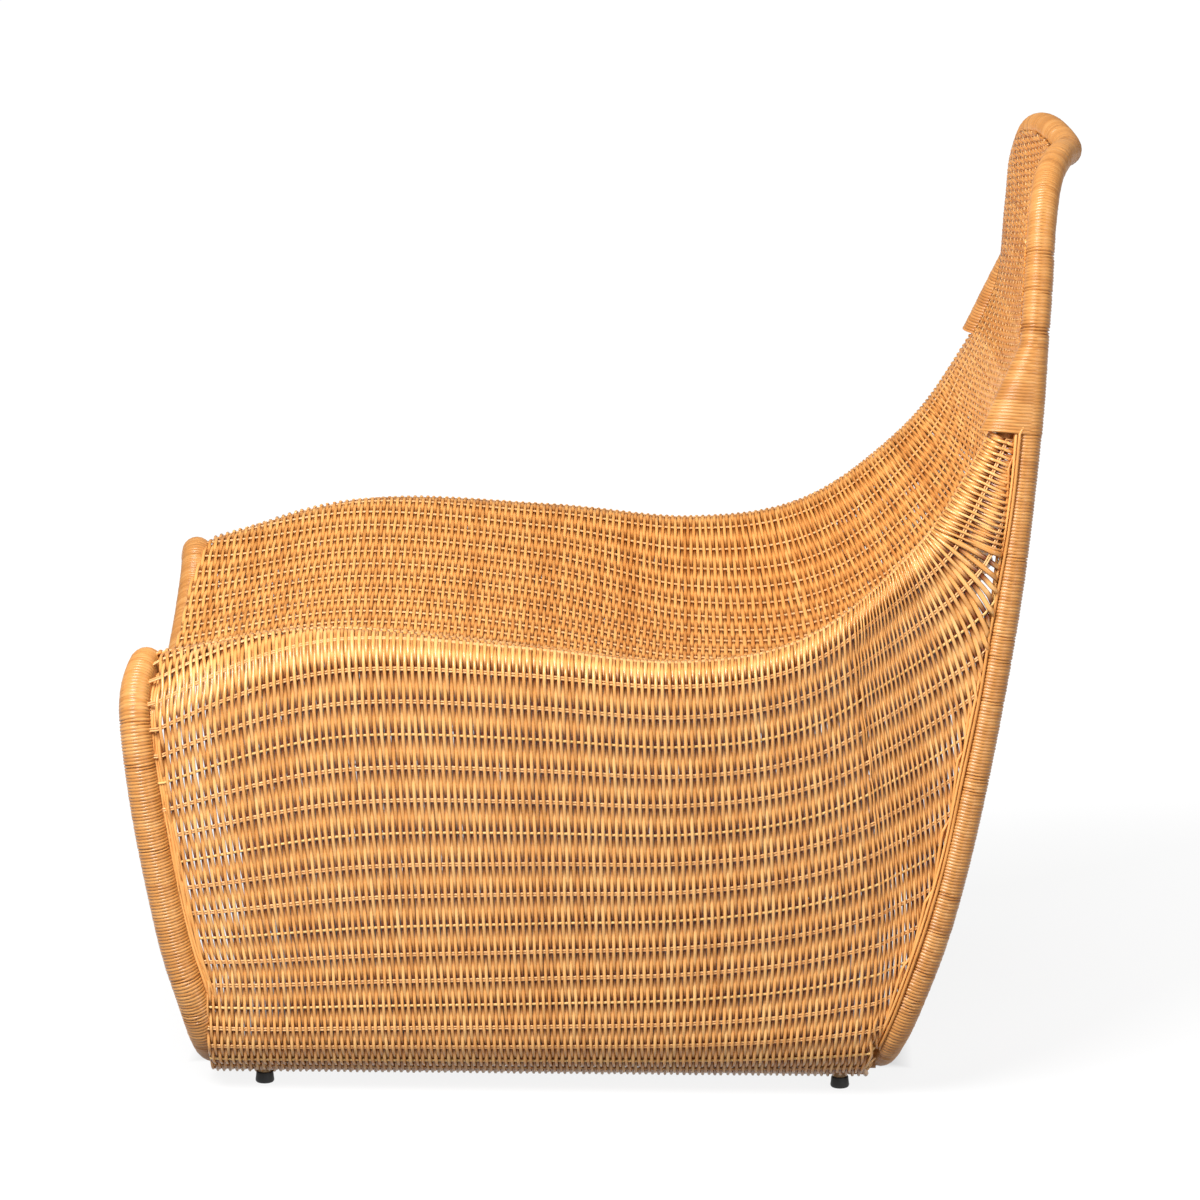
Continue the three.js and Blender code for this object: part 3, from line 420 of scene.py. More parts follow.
def leg_line(hoop, level):
    """The axis of the left leg of a hoop at given heights."""
    axis = on_hoop(hoop, np.linspace(LEG_START, LEG_STOP, LEG_ROWS))
    return np.stack([np.interp(level, axis[:, 2], axis[:, k]) for k in range(3)], axis=-1)


def rear_fan(level):
    """The part of the leg strands that pass a height: all at the split, and none at the floor."""
    return np.clip((level - LEG_FOOT) / (LEG_SPLIT - LEG_FOOT), LEAST_FAN, 1)


def side_at(station, down):
    """Points of the left side on a grid of stations and of parts of the way down, and the lengths of the
    strands there. In side view a strand runs straight to the floor, bending along a leg that is near.
    The next ones fan out evenly to the rear leg, and the wing's run straight to it. Across, a path rounds
    over the shoulder as a quarter of an ellipse and turns in at its foot as a quarter circle."""
    half, y, z, _, _, _, shoulder = (value[:, None] for value in crest_at(station))
    (first_y, last_y), (first_z, last_z) = crest_at(np.array([SIDE_START, FLOOR_END]))[1:3]
    part = np.clip((y - first_y) / (last_y - first_y), 0, 1)
    fan = np.clip((station - FLOOR_END) / (SPLIT - FLOOR_END), 0, 1)[:, None]
    wing = np.clip((station - SPLIT) / (WING_END - SPLIT), 0, 1)[:, None]
    to_floor, to_wing = (station <= FLOOR_END)[:, None], (station > SPLIT)[:, None]
    wing_top = on_hoop(REAR_HOOP, np.array([WING_POINT]))[0, 2]
    leg_z = LEG_FOOT + (LEG_SPLIT - LEG_FOOT) * fan + (wing_top - LEG_SPLIT) * wing
    leg = leg_line(REAR_HOOP, leg_z[:, 0])
    foot_y = np.where(to_floor, FRONT_FOOT + (REAR_FOOT - FRONT_FOOT) * strand_share(part),
                      leg[:, 1:2] - LEG_SHORT)
    foot_z = np.where(to_floor, SKIRT_HEIGHT, leg_z)
    curl = np.where(leg_z > CURL_CHANGE, LEG_CURL, SKIRT)
    skirt = np.where(to_floor, SKIRT, np.clip(SIDE_WIDTH - leg[:, :1], LEAST_CURL, curl))
    wall = np.where(to_floor, SIDE_WIDTH, leg[:, :1] + skirt)
    fine = (1 - np.cos(np.linspace(0, np.pi, PATH_ROWS)))[None] / 2
    run = np.hypot(foot_y - y, foot_z - z)
    gone = fine * run
    drop = shoulder + SHOULDER_DROP
    x = half + shoulder + (gone - drop) / (run - drop) * (wall - half - shoulder)
    over = half + shoulder * np.sqrt(np.clip(1 - (1 - gone / drop) ** 2, 0, 1))
    x = np.where(gone < drop, over, x)
    turned_in = np.clip(gone - (run - skirt), 0, skirt)
    x = x - (skirt - np.sqrt(np.maximum(0, skirt**2 - turned_in**2)))
    level = z + (foot_z - z) * fine
    front_y = leg_line(FRONT_HOOP, level)[..., 1]
    front_y = front_y + FRONT_LANE * np.clip((level - LANE_FOOT) / LANE_RISE, 0, 1)
    first_line = first_y + (FRONT_FOOT - first_y) * (first_z - level) / (first_z - SKIRT_HEIGHT)
    rear_y = leg_line(REAR_HOOP, level)[..., 1]
    fan_y = rear_y - REAR_LANE - LEG_FAN * rear_fan(level)
    last_line = last_y + (REAR_FOOT - last_y) * (last_z - level) / (last_z - SKIRT_HEIGHT)
    settled = 1 - np.exp(-fine / SETTLING)
    bend = (front_y - first_line) * np.clip(1 - part / FRONT_BEND, 0, 1) ** 2
    bend = bend + (fan_y - last_line) * np.clip(2 * part - 1, 0, 1) ** 2
    straight = y + (foot_y - y) * fine
    fanned = fan_y + (rear_y - LEG_SHORT - fan_y) * np.clip(fan / rear_fan(level), 0, 1)
    fanned = y + (fanned - y) * (1 - (1 - fine) ** (1 + (z - foot_z) / FAN_RISE))
    lane = np.where(to_floor, straight + bend * settled, np.where(to_wing, straight, fanned))
    path = np.stack([x, lane, level], axis=-1)
    length = lengths(path)
    return row_lookup(down * length[:, -1:], length, path), length[:, -1]


def front_share(station):
    """One at the front end of the crest and falling to nothing along it as an exponential, and the part
    of the way along to the last strand that reaches the floor."""
    first, last = crest_at(np.array([0, FLOOR_END]))[1]
    part = np.clip((crest_at(station)[1] - first) / (last - first), 0, 1)
    return np.exp(-FRONT_FADE * part), part


def ribs_above(station, down):
    """How many ribs lie above a point of a side: nearly even down the side, closer in the curl at the
    floor, with three more at the front that came over the crest, and higher toward the rear leg."""
    early, part = (value[:, None] for value in front_share(station))
    whole = side_at(np.array([FLOOR_END]), np.zeros((1, 1)))[1]
    length = side_at(station, np.zeros((len(station), 1)))[1][:, None]
    down = np.where((station > FLOOR_END)[:, None], down * length / whole, down)
    return (EVEN_RIBS * down + CURL_RIBS * down**CURL_POWER - FRONT_RIBS * early * (1 - down) ** FRONT_POWER
            + (REAR_CLIMB * part - 1) * (1 - early) * np.sin(np.pi * down**CLIMB_POWER))


def down_to_rib(station, number):
    """The part of the way down at which each strand of a side has passed a number of ribs."""
    fine = np.linspace(0, 1, RIB_ROWS)
    table = ribs_above(station, fine[None])
    return row_lookup(number, table, np.broadcast_to(fine, table.shape))


def crest_flat(distance):
    """The share by which waves are flattened: a bell curve of the distance from the crest."""
    return CREST_FLAT * np.exp(-(distance**2))


def strands(surface, outward, rib_number, order, tight, flat, relief=1.0):
    """Woven strands on a surface given on a grid, one strand a row. A strand rises and sinks along the
    surface normal as a sharpened cosine of half a turn for each rib, neighbours by turns. Its width
    fills the rows' spacing between ribs and is less at them. Each one wanders and varies a little. The
    flat share is taken off the wave where all strands lie on the crest. Returns points, tone and lift."""
    step = np.gradient(surface, axis=0)
    normal = np.cross(step, unit(np.gradient(surface, axis=1)))
    spacing = np.linalg.norm(normal, axis=-1)
    normal = normal / spacing[..., None]
    normal = normal * np.sign(np.sum(normal * outward, axis=(1, 2), keepdims=True))
    draws = rng.random((len(surface), 6))
    phase = PHASES * draws
    cosine = np.cos(np.pi * (rib_number + order[:, None]))
    wave = np.sign(cosine) * np.abs(cosine) ** WAVE_POWER * (1 - flat)
    slow = np.sin(rib_number * SLOW_WANDER + phase[:, 0:1])
    quick = np.sin(rib_number * QUICK_WANDER + phase[:, 1:2])
    path = surface + normal * (wave * LIFT * relief * (LIFT_LEAST + LIFT_VARIES * draws[:, 2:3]))[..., None]
    path = path + unit(step) * (WANDER * (slow + quick))[..., None]
    wide = np.clip(spacing * tight * (WIDTH_BETWEEN - NARROWING * wave**2), NARROWEST, WIDEST)
    wide = wide * (WIDTH_LEAST + WIDTH_VARIES * draws[:, 3:4])
    angle = circle(STRAND_SIDES)
    points = sweep(path, normal, wide[..., None] / 2 * np.cos(angle), STRAND_HIGH / 2 * np.sin(angle))
    tone = STRAND_TONE + STRAND_TONES * draws[:, 4:5] + TONE_ALONG * np.sin(rib_number + phase[:, 5:6])
    # The lift is the wave: low where a strand goes under a rib, and there the finish paints shade.
    return points, *(np.broadcast_to(value[..., None], points.shape[:3]) for value in (tone, wave))


def woven(make, name, weave, rows, finish, node):
    """Some rows of a weave's strands, as one piece or a pair."""
    points, tone, lift = (values[rows] for values in weave)
    make(name, points, tube_faces(*points.shape[:3]), finish, "weave", node, tone=tone, lift=lift)


# Woven cane: its darker colour is painted shade on the strands where they go under the ribs.
WOVEN_CANE = cane_finish("woven_cane", (0.62, 0.26, 0.058), (0.83, 0.40, 0.116), (0.91, 0.535, 0.2),
                         dull=0.25, shade_and_scar=(0.16, 0.03, 0.001), grain=700, gloss=0.6)
floor_stations = np.interp(np.linspace(0, 1, FLOOR_STRANDS), strand_share(np.linspace(0, 1, FINE)),
                           even_stations(SIDE_START, FLOOR_END, FINE))
side_stations = np.concatenate([floor_stations, even_stations(FLOOR_END, SPLIT, LEG_STRANDS + 1)[1:]])
first_rib, last_rib = (ribs_above(side_stations, np.full((1, 1), end)) for end in (0.0, 1.0))
rib_number = first_rib + (last_rib - first_rib) * np.linspace(0, 1, STRAND_ROWS)
surface, _ = side_at(side_stations, down_to_rib(side_stations, rib_number))
order = np.arange(len(side_stations))
tight = (TIGHT - FRONT_SLACK * np.exp(-order / FRONT_SLACK_COUNT)
         - FAN_SLACK * np.exp(-np.abs(order - FLOOR_STRANDS) / FAN_SLACK_COUNT))
weave = strands(surface, OUTWARD, rib_number, order, tight[:, None], crest_flat(rib_number / FLAT_RIBS))
for name, rows in (("side_strands_front", slice(0, SIDE_THIRD)),
                   ("side_strands_middle", slice(SIDE_THIRD, 2 * SIDE_THIRD)),
                   ("side_strands_rear", slice(2 * SIDE_THIRD, None))):
    woven(make_pair, name, weave, rows, WOVEN_CANE, "side_weave")

wing_stations = even_stations(SPLIT, WING_END, WING_STRANDS + 1)[1:]
down = np.linspace(0, 1, WING_ROWS)
surface, wing_length = side_at(wing_stations, np.broadcast_to(down, (WING_STRANDS, WING_ROWS)))
rib_number = down * (wing_length / np.linspace(WING_GAP_LOW, WING_GAP_HIGH, WING_STRANDS))[:, None]
order = np.arange(WING_STRANDS) + len(side_stations)
weave = strands(surface, OUTWARD, rib_number, order, WING_TIGHT, crest_flat(rib_number / FLAT_RIBS))
woven(make_pair, "side_strands_wing", weave, slice(None), WOVEN_CANE, "side_weave")

# Side ribs: reeds that lie level between the strands, mostly in pairs and every third one single and
# paler. They start at the front hoop, where the binding holds them, and run to the rear leg, but the
# topmost end at the crest.
RIB_REED = cane_finish("rib_reed", (0.64, 0.32, 0.115), (0.83, 0.47, 0.19), (0.91, 0.59, 0.28),
                       dull=0.4, shade_and_scar=(0.3, 0.1, 0.02), grain=700)
PALE_RIB = cane_finish("pale_rib", (0.72, 0.42, 0.13), (0.85, 0.54, 0.2), (0.92, 0.64, 0.27),
                       dull=0.38, shade_and_scar=(0.4, 0.18, 0.04), grain=700)
PAIR_RADIUS, PAIR_GAP, SINGLE_RADIUS, RIB_SIDES = 0.0009, 0.002, 0.0012, 6
RIB_UP = np.array([0.35, 0.2, 1.0])
RUN_IN, RUN_IN_ROWS, LEG_STRETCH = 4, 500, (2.4, 9.4)
FLOOR_RIB_ROWS, LEG_RIB_ROWS, PAST_SPLIT = 130, 30, 0.01
WING_RIBS, WING_LINE_ROWS, BESIDE_STEP = (1, 2), 60, 0.01


def rib_reeds(path, beside, number):
    """Round reeds along a rib's path: two side by side along the beside direction, or one thicker one for
    every third number but the crest's. Returns the points and whether the rib is single."""
    single = number % 3 == 0 and number != 0
    offsets = (0,) if single else (-PAIR_GAP / 2, PAIR_GAP / 2)
    reeds = np.stack([path + beside * offset for offset in offsets])
    return tube(reeds, RIB_UP, SINGLE_RADIUS if single else PAIR_RADIUS, RIB_SIDES), single


def reed_piece(make, name, parts, finish, *nodes):
    """One mesh, or a pair, of many reeds of different lengths, with a tone for each reed."""
    faces, at = [], 0
    for part in parts:
        faces.append(tube_faces(*part.shape[:3]) + at)
        at += part[..., 0].size
    points = np.vstack([part.reshape(-1, 3) for part in parts])
    tone = [np.repeat(STRAND_TONE + STRAND_TONES * rng.random(len(part)), part[0, ..., 0].size)
            for part in parts]
    make(name, points, np.vstack(faces), finish, "weave", *nodes,
         tone=np.concatenate(tone), lift=np.ones(len(points)))


def run_in(end, hoop, stretch):
    """Points that lead from a path's end to the nearest point of a stretch of a hoop's axis."""
    axis = on_hoop(hoop, np.linspace(*stretch, RUN_IN_ROWS))
    nearest = axis[np.argmin(np.linalg.norm(axis - end, axis=1))]
    return end + (nearest - end) * np.linspace(0, 1, RUN_IN + 1)[1:, None]


rib_stations = np.concatenate([even_stations(SIDE_START, FLOOR_END, FLOOR_RIB_ROWS),
                               even_stations(FLOOR_END, SPLIT, LEG_RIB_ROWS)[1:]])
crest_rib, foot_rib = (ribs_above(rib_stations, np.full((1, 1), end))[:, 0] for end in (0.0, 1.0))
wing_line = even_stations(SPLIT + PAST_SPLIT, WING_END, WING_LINE_ROWS)
wing_reach = side_at(wing_line, np.zeros((WING_LINE_ROWS, 1)))[1]
wing_reach = wing_reach / np.linspace(WING_GAP_LOW, WING_GAP_HIGH, WING_LINE_ROWS)
pairs, singles = [], []
for number in range(FIRST_RIB, LAST_RIB + 1):
    passed = rib_stations[(crest_rib <= number) & (number <= foot_rib)]
    down = down_to_rib(passed, np.full((len(passed), 1), number))
    if number in WING_RIBS:
        passed = np.r_[passed, wing_line[wing_reach > number]]
        down = np.vstack([down, (number / wing_reach)[wing_reach > number, None]])
    path = side_at(passed, down)[0][:, 0]
    beside = unit(side_at(passed, np.minimum(1, down + BESIDE_STEP))[0][:, 0]
                  - side_at(passed, np.maximum(0, down - BESIDE_STEP))[0][:, 0])
    to_leg = RUN_IN if number > 0 else 0
    path = np.vstack([run_in(path[0], FRONT_HOOP, LEG_STRETCH)[::-1], path,
                      run_in(path[-1], REAR_HOOP, LEG_STRETCH)[:to_leg]])
    beside = np.pad(beside, ((RUN_IN, to_leg), (0, 0)), mode="edge")
    reeds, single = rib_reeds(path, beside, number)
    (singles if single else pairs).append(reeds)
reed_piece(make_pair, "side_ribs", pairs, RIB_REED, "side_weave")
reed_piece(make_pair, "side_pale_ribs", singles, PALE_RIB, "side_weave")

# Woven seat and back: strands go on over the crests and cross the dish from arm to arm, a few more lie
# along its front edge, and above the wings they cross the back. Their ribs run from the seat's front
# rail up to the arch.
# Seat and back cane: their darker colours are painted shade on the strands where they go under the ribs.
SEAT_CANE = cane_finish("seat_cane", (0.575, 0.228, 0.05), (0.80, 0.372, 0.1), (0.89, 0.485, 0.155),
                        dull=0.3, shade_and_scar=(0.22, 0.055, 0.006), grain=700, gloss=0.2)
BACK_CANE = cane_finish("back_cane", (0.47, 0.168, 0.032), (0.69, 0.285, 0.066), (0.79, 0.385, 0.108),
                        dull=0.34, shade_and_scar=(0.12, 0.03, 0.004), grain=700, gloss=0.08)
HALF_RIBS, RIB_SAMPLES, DISH_RIB_ROWS, CLIMB_ROWS = 15, 4, 260, 1500
EDGE_STRANDS, OWN_STRANDS, BACK_PITCH = 4, 3.8, 0.003
SEAT_END, BACK_TOP, RIB_STRAIGHT = 4.6, 11.0, 8.0
WRAP_TRIM, TRIM_START, TRIM_END, TRIM_RAMP = 0.010, 6.2, 7.5, 0.2
DISH_RELIEF, LESS_RELIEF, LESS_START, LESS_INNER, LESS_RAMP = 0.8, 0.65, 5.0, 0.55, 0.35
BACK_TIGHTER, TIGHTER_START, DISH_FLAT = 0.07, 3, 0.007
DISH_OUTWARD = np.array([0, -0.6, 1.0])
EDGE_STRETCH = (9.0, 15.0)


def rib_width(station):
    """Half width over which the dish's ribs are spread: that of the crest, and on the upper back that of
    the shoulder, so that ribs run straight up and end at the arch."""
    return np.where(station < RIB_STRAIGHT, crest_at(station)[0], crest_at(np.array([RIB_STRAIGHT]))[0])


edge_stations = np.linspace(0, SIDE_START, EDGE_STRANDS + 1)[:-1]
shared_stations = np.concatenate([edge_stations, side_stations[side_stations < OWN_STRANDS]])
fine = np.linspace(shared_stations[-1], BACK_TOP, CLIMB_ROWS)
climbed = lengths(dish_at(fine, np.full(fine.shape, 0.5))[:, 1:])
back_stations = np.interp(np.arange(BACK_PITCH, climbed[-1], BACK_PITCH), climbed, fine)
dish_stations = np.concatenate([shared_stations, back_stations])
order = np.arange(len(dish_stations))
beside_wrap = (np.clip((dish_stations - TRIM_START) / TRIM_RAMP, 0, 1)
               * np.clip((TRIM_END - dish_stations) / TRIM_RAMP, 0, 1))
half = crest_at(dish_stations)[0]
spread = np.linspace(-1, 1, 2 * HALF_RIBS * RIB_SAMPLES + 1)
spread = spread * (1 - WRAP_TRIM * beside_wrap / half)[:, None]
surface = dish_at(dish_stations[:, None] + 0 * spread, spread)
x = np.abs(spread) * (half / rib_width(dish_stations))[:, None]
rib_number = -HALF_RIBS * (1 - x) - FRONT_RIBS * front_share(dish_stations)[0][:, None] * x**2
tight = TIGHT + BACK_TIGHTER * np.clip(dish_stations - TIGHTER_START, 0, 1)[:, None]
smooth = (np.clip(dish_stations - LESS_START, 0, 1)[:, None]
          * np.clip((np.abs(spread) - LESS_INNER) / LESS_RAMP, 0, 1))
flat = crest_flat((1 - np.abs(spread)) * half[:, None] / DISH_FLAT)
weave = strands(surface, DISH_OUTWARD, rib_number, order, tight, flat, DISH_RELIEF - LESS_RELIEF * smooth)
seat_count = np.searchsorted(dish_stations, SEAT_END)
back_middle = (seat_count + len(order)) // 2
for name, rows, finish, node in (
        ("seat_strands_front", slice(0, seat_count // 2), SEAT_CANE, "seat_weave"),
        ("seat_strands_rear", slice(seat_count // 2, seat_count), SEAT_CANE, "seat_weave"),
        ("back_strands_lower", slice(seat_count, back_middle), SEAT_CANE, "back_weave"),
        ("back_strands_upper", slice(back_middle, None), BACK_CANE, "back_weave")):
    woven(make_piece, name, weave, rows, finish, node)

# A rib lies where the strands' rib number, which is quadratic across the dish, comes to the rib's own.
pairs, singles = [], []
line = np.linspace(0.0, BACK_TOP, DISH_RIB_ROWS)
for number in range(1 - HALF_RIBS, HALF_RIBS):
    inner = HALF_RIBS * HALF_RIBS - 4 * FRONT_RIBS * front_share(line)[0] * abs(number)
    across = 2 * number / (HALF_RIBS + np.sqrt(inner)) * rib_width(line) / crest_at(line)[0]
    kept = np.abs(across) < 1
    path = dish_at(line[kept], across[kept])
    path = np.vstack([run_in(path[0], FRONT_HOOP, EDGE_STRETCH)[::-1], path])
    reeds, single = rib_reeds(path, OUTWARD, number)
    (singles if single else pairs).append(reeds)
reed_piece(make_piece, "dish_ribs", pairs + singles, RIB_REED, "seat_weave", "back_weave")

# Wing wraps: close turns of cane round the rear leg and the end of the arm rail, from where they meet
# up to where they have become one.
WRAP_FOOT, WRAP_TOP, WRAP_SIDES = 8.25, 9.05, 28
WRAP_RADIUS, WRAP_REACH = REAR_ROLL + 0.0006, 0.0285
WRAP_THINNING, WRAP_BULGE = 0.0009, 0.15
path = even_stretch(REAR_HOOP, WRAP_FOOT, WRAP_TOP, TURN_WIDTH / TURN_ROWS)
climb = np.linspace(0, 1, len(path))[:, None]
angle = (np.arange(WRAP_SIDES) + 0.5) * 2 * np.pi / WRAP_SIDES
number, aside = turns(len(path), angle)
crown = 1 - aside**TURN_POWER
draws = rng.random((number.max() + 1, 2))
radius = WRAP_RADIUS - TURN_DEPTH * (1 - crown) + (draws[number, 0] - TURN_MEAN) * TURN_VARIES
radius = radius - WRAP_THINNING * climb**4
reach = WRAP_REACH * (1 - climb) / 2
points = sweep(path, FORWARD, (radius + WRAP_BULGE * reach) * np.cos(angle),
               (radius + reach) * np.sin(angle) + reach)
# The lift, low in the grooves between turns, lets the finish paint shade there.
make_pair("wound_wing_wrap", points, tube_faces(1, len(path), WRAP_SIDES), BOUND_CANE, "binding",
          "wing_wrap", tone=draws[number, 1] * TURN_TONES + TURN_TONE, lift=2 * crown - 1)

# Border strands: on each side a few long strands that run down beside the legs, and short ends of others
# that come out from under the bindings. Each lane is a distance from the binding and one outward.
BORDER_CANE = cane_finish("border_cane", (0.56, 0.22, 0.05), (0.78, 0.36, 0.10), (0.88, 0.48, 0.16),
                          dull=0.34, shade_and_scar=(0.3, 0.1, 0.02), grain=700)
BORDER_RADIUS, BORDER_SIDES, BORDER_STEP = 0.00135, 8, 0.005
REAR_BORDER, FRONT_BORDER = (2.9, 8.38), (3.0, 8.7)
REAR_LANES = ((0.0006, 0.0068), (-0.0023, 0.0094))
FRONT_LANES = ((0.0004, 0.001), (0.0031, 0.001), (0.0059, 0.001))
REAR_END_RISE, FRONT_END_RISE = 0.0048, 0.001
END_ROWS, END_STEP, END_LEAST, TUCK_ROWS = 22, 13, 8, 3
END_UNDER, END_REACH, END_POWER = 0.003, 0.009, 0.8
SWAY_AWAY, AWAY_RATE, SWAY_RISE, RISE_RATE, RISE_VARIES = 0.0005, 0.21, 0.0007, 0.13, 0.0009
TUCK_AWAY, TUCK_RISE = 0.006, 0.004
UPPER_LEG, UPPER_AWAY, UPPER_RISE = (0.42, 0.56), 0.0042, 0.004
parts = []
for hoop, stretch, roll, aside, end_rise, lanes in (
        (REAR_HOOP, REAR_BORDER, REAR_ROLL, FORWARD, REAR_END_RISE, REAR_LANES),
        (FRONT_HOOP, FRONT_BORDER, FRONT_ROLL, -FORWARD, FRONT_END_RISE, FRONT_LANES)):
    route = even_stretch(hoop, *stretch, BORDER_STEP)
    along = unit(np.gradient(route, axis=0))
    ahead = unit(aside - along * (along @ aside)[:, None])
    out = np.cross(along, ahead)
    out = out * np.sign(out[:, :1])
    on_upper = np.interp(route[:, 2], UPPER_LEG, (0, 1)) * (hoop is REAR_HOOP)
    every_row = np.arange(len(route))
    runs = [(every_row, lane, rise) for lane, rise in lanes]
    for foot in range(0, len(route) - END_LEAST, END_STEP):
        rows = every_row[foot: foot + END_ROWS]
        runs.append((rows, END_REACH * ((rows - foot) / END_ROWS) ** END_POWER - END_UNDER, end_rise))
    for rows, lane, rise in runs:
        draw = rng.random(3)
        tucked = np.clip(1 - np.minimum(rows - rows[0], rows[-1] - rows) / TUCK_ROWS, 0, 1)
        away = roll + lane + SWAY_AWAY * np.sin(rows * AWAY_RATE + 6 * draw[1]) - TUCK_AWAY * tucked
        away = away - UPPER_AWAY * on_upper[rows]
        rise = rise + UPPER_RISE * on_upper[rows] + RISE_VARIES * draw[2]
        rise = rise + SWAY_RISE * np.sin(rows * RISE_RATE + 6 * draw[0]) - TUCK_RISE * tucked
        path = route[rows] + ahead[rows] * away[:, None] + out[rows] * rise[:, None]
        parts.append(tube(path[None], OUTWARD, BORDER_RADIUS, BORDER_SIDES))
reed_piece(make_pair, "border_strands", parts, BORDER_CANE, "side_weave")

# Feet: turned wooden pegs tenoned up into the side rails, each in a black rubber cap with a rounded edge.
# Profiles give radius and height.
FOOT_SIDES, FOOT_CENTRE = 32, 0.0008
CAP_BORE, CAP_FLOOR = 0.0064, 0.0036
PEG_RADIUS, PEG_CHAMFER, PEG_SHOULDER = 0.0062, 0.0008, 0.0176
TENON_RADIUS, PEG_EDGE = 0.0045, 0.0004


def speckled_finish(name, scale, dark, light, rough, metal):
    """A plain finish whose colour is speckled from dark to light by a fine noise."""
    finish = bpy.data.materials.new(name)
    finish.use_nodes = True
    tree = finish.node_tree
    shader = tree.nodes["Principled BSDF"]
    tree.links.new(ramp_node(tree, noise_node(tree, scale), dark, light), shader.inputs["Base Color"])
    shader.inputs["Roughness"].default_value = rough
    shader.inputs["Metallic"].default_value = metal
    return finish


def turned(centre, profile):
    """A turned solid: the profile of radius and height carried round an upright axis, with each end
    closed across."""
    radius, height = np.array(profile).T
    angle = circle(FOOT_SIDES)
    ring = np.stack([np.cos(angle), np.sin(angle), 0 * angle], axis=-1)
    spine = np.column_stack([np.tile(centre, (len(height), 1)), height])
    return spine[:, None] + radius[:, None, None] * ring, tube_faces(1, len(height), FOOT_SIDES)[:, ::-1]


PEG_WOOD = cane_finish("peg_wood", (0.5, 0.3, 0.14), (0.66, 0.45, 0.24), (0.74, 0.55, 0.32),
                       dull=0.5, shade_and_scar=(0.4, 0.24, 0.1), grain=300)
CAP_RUBBER = speckled_finish("cap_rubber", 600, (0.006, 0.006, 0.007), (0.022, 0.021, 0.02), 0.55, 0)
for end in ("front", "rear"):
    for side in ("left", "right"):
        low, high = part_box(f"{end}_foot_cap_{side}")
        centre = ((low.x + high.x) / 2, (low.y + high.y) / 2)
        wide = (high.x - low.x) / 2
        top = high.z
        points, faces = turned(centre, [
            (FOOT_CENTRE, 0.0), (wide - 0.0022, 0.0), (wide - 0.0010, 0.0004), (wide - 0.0003, 0.0012),
            (wide, 0.0024), (wide - 0.0004, top * 0.5), (wide - 0.0008, top - 0.0012),
            (wide - 0.0011, top - 0.0004), (wide - 0.0016, top), (CAP_BORE, top), (CAP_BORE, CAP_FLOOR),
            (FOOT_CENTRE, CAP_FLOOR)])
        make_piece(f"rubber_{end}_foot_cap_{side}", points, faces, CAP_RUBBER, "rubber",
                   f"{end}_foot_cap_{side}")
        low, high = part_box(f"{end}_foot_peg_{side}")
        points, faces = turned(centre, [
            (FOOT_CENTRE, low.z), (PEG_RADIUS - PEG_CHAMFER, low.z), (PEG_RADIUS, low.z + PEG_CHAMFER),
            (PEG_RADIUS, PEG_SHOULDER - PEG_EDGE), (PEG_RADIUS - PEG_EDGE, PEG_SHOULDER),
            (TENON_RADIUS, PEG_SHOULDER), (TENON_RADIUS, high.z), (FOOT_CENTRE, high.z)])
        count = points[..., 0].size
        make_piece(f"turned_{end}_foot_peg_{side}", points, faces, PEG_WOOD, "peg",
                   f"{end}_foot_peg_{side}", tone=np.full(count, 0.5), lift=np.ones(count))

# Poles inside the bindings, and nails: hidden pieces that keep their solids. The frame's nodes take the
# finish of bare rattan, and the nails that of dull steel.
NAIL_STEEL = speckled_finish("nail_steel", 900, (0.28, 0.27, 0.26), (0.5, 0.5, 0.49), 0.4, 1)
for name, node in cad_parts.items():
    node.data.materials.clear()
    node.data.materials.append(NAIL_STEEL if "nail" in name else POLE_RATTAN)

# Studio: a dark grey floor that glows white to the camera and in reflections, a little more far out, and an
# even white surround. Over a soft-edged rectangle under the chair the glow is taken away: a painted shadow,
# where the floor's own dim shading shows. A large soft lamp stands above the front of the chair on the
# camera's side, and a weaker, lower one toward the rear of that side.
FLOOR_HALF, FLOOR_GREY = 9, 0.13
SHADE_X, SHADE_Y = (-0.08, 0.25), (MIDDLE[1] - 0.04, 0.3)
SHADE_EDGE, GLOW_EDGE, GLOW_FAR = 0.85, 1.1, 4.0
GLOW_NEAR, GLOW_MORE = 0.86, 0.12
SURROUND_LIGHT = 0.38


def ray_node(tree, *kinds):
    """The output that is one for rays of either of two kinds, and nought for others."""
    rays = tree.nodes.new("ShaderNodeLightPath")
    return math_node(tree, "MAXIMUM", *(rays.outputs[f"Is {kind} Ray"] for kind in kinds))


def soft_lamp(name, place, aim, size, power):
    """A square lamp at a place, turned to face the point that it is aimed at."""
    lamp = bpy.data.lights.new(name, "AREA")
    lamp.size = size
    lamp.energy = power
    holder = bpy.data.objects.new(name, lamp)
    holder.location = place
    holder.rotation_euler = (Vector(aim) - Vector(place)).to_track_quat("-Z", "Y").to_euler()
    bpy.context.scene.collection.objects.link(holder)


floor_mesh = bpy.data.meshes.new("floor")
corners = [(x * FLOOR_HALF, y * FLOOR_HALF, 0) for x, y in ((-1, -1), (1, -1), (1, 1), (-1, 1))]
floor_mesh.from_pydata(corners, [], [(0, 1, 2, 3)])
floor = bpy.data.objects.new("floor", floor_mesh)
bpy.context.scene.collection.objects.link(floor)
paper = bpy.data.materials.new("white_paper")
paper.use_nodes = True
tree = paper.node_tree
tree.nodes.clear()
matt = tree.nodes.new("ShaderNodeBsdfDiffuse")
matt.inputs["Color"].default_value = (FLOOR_GREY, FLOOR_GREY, FLOOR_GREY, 1)
place = tree.nodes.new("ShaderNodeSeparateXYZ")
tree.links.new(tree.nodes.new("ShaderNodeTexCoord").outputs["Object"], place.inputs[0])
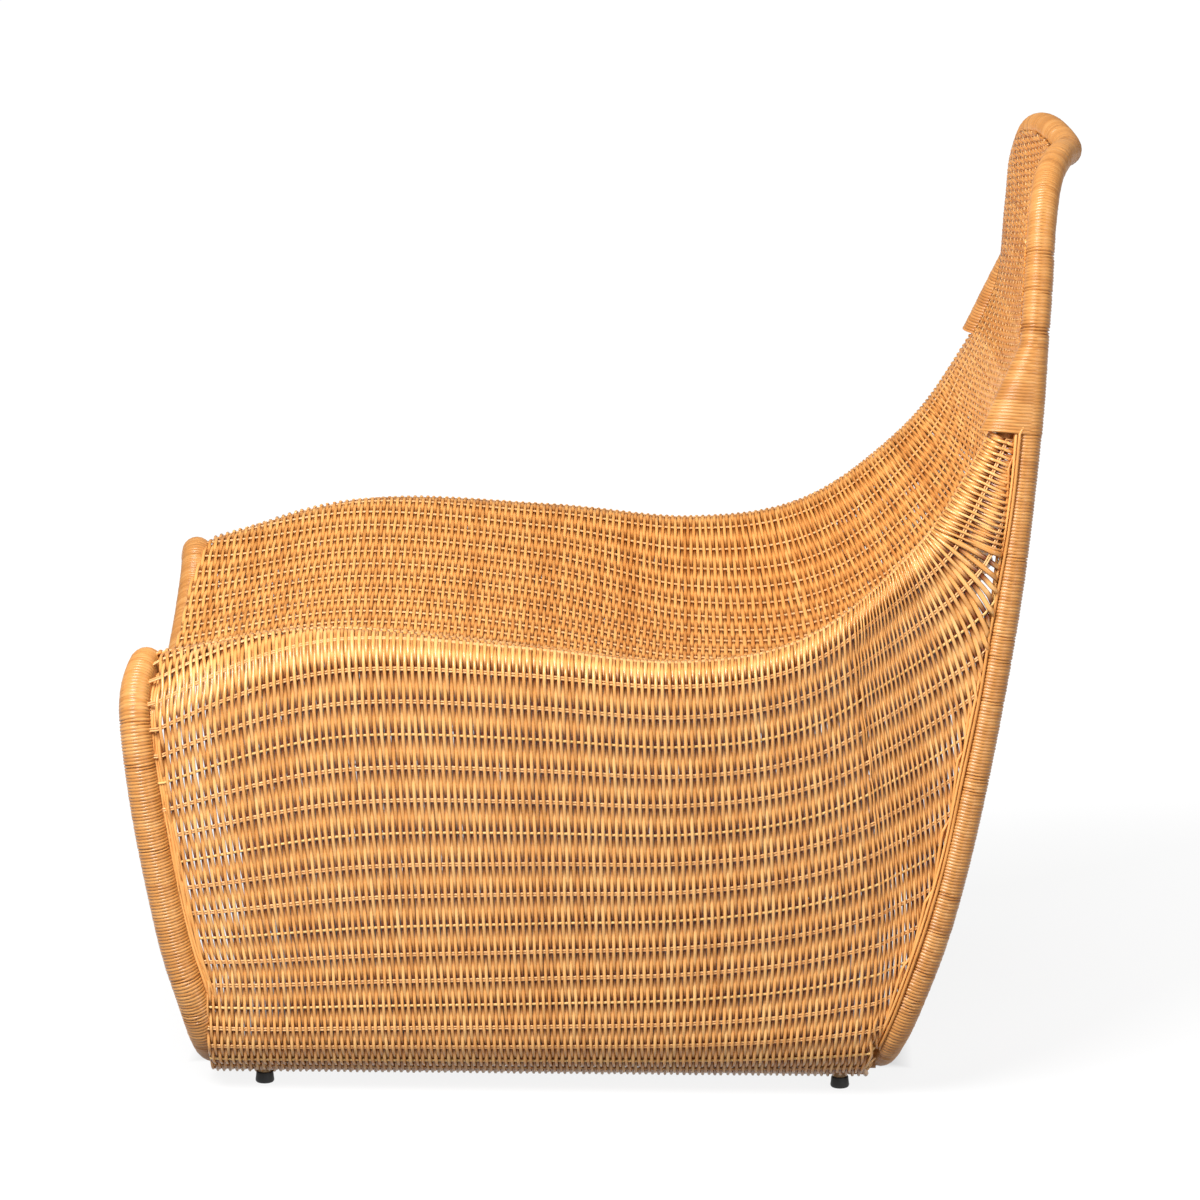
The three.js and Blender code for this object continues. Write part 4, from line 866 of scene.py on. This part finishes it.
# Painted shadow: the glow fades out over a soft edge into a rectangle under the chair.
away = []
for axis, (middle, reach) in (("X", SHADE_X), ("Y", SHADE_Y)):
    from_middle = map_node(tree, place.outputs[axis], middle, middle + reach, 0, 1, clamp=False)
    away.append(math_node(tree, "ABSOLUTE", from_middle))
farther = math_node(tree, "MAXIMUM", *away)
near_glow = map_node(tree, farther, SHADE_EDGE, GLOW_EDGE, 0, GLOW_NEAR)
far_glow = map_node(tree, farther, GLOW_EDGE, GLOW_FAR, 0, GLOW_MORE)
whole_glow = math_node(tree, "ADD", near_glow, far_glow)
glow = tree.nodes.new("ShaderNodeEmission")
tree.links.new(math_node(tree, "MULTIPLY", ray_node(tree, "Camera", "Glossy"), whole_glow),
               glow.inputs["Strength"])
added = tree.nodes.new("ShaderNodeAddShader")
tree.links.new(matt.outputs[0], added.inputs[0])
tree.links.new(glow.outputs[0], added.inputs[1])
tree.links.new(added.outputs[0], tree.nodes.new("ShaderNodeOutputMaterial").inputs["Surface"])
floor_mesh.materials.append(paper)

world = bpy.data.worlds.new("studio")
bpy.context.scene.world = world
world.use_nodes = True
tree = world.node_tree
surround = tree.nodes["Background"]
surround.inputs["Color"].default_value = (1, 1, 1, 1)
seen = ray_node(tree, "Camera", "Transmission")
tree.links.new(map_node(tree, seen, 0, 1, SURROUND_LIGHT, 1), surround.inputs["Strength"])
soft_lamp("key_lamp", (1.85, -0.95, 2.2), (0.1, 0, 0.45), size=1.2, power=104)
soft_lamp("fill_lamp", (3.0, 2.4, 1.6), (0, 0, 0.45), size=1.6, power=35)

# Camera: a long lens higher than the chair's top and nearly square to its left side, looking down at its
# middle.
CAMERA_PLACE, CAMERA_AIM = (5.4673, 0.1661, 1.5906), (0, 0, 0.390)
camera_data = bpy.data.cameras.new("camera")
camera_data.lens = 181.44
camera_data.sensor_width = 36
camera = bpy.data.objects.new("camera", camera_data)
camera.location = Vector(CAMERA_PLACE) + Vector(MIDDLE)
target = Vector(CAMERA_AIM) + Vector(MIDDLE)
camera.rotation_euler = (target - camera.location).to_track_quat("-Z", "Y").to_euler()
bpy.context.scene.collection.objects.link(camera)
bpy.context.scene.camera = camera
bpy.context.scene.view_settings.view_transform = "Standard"
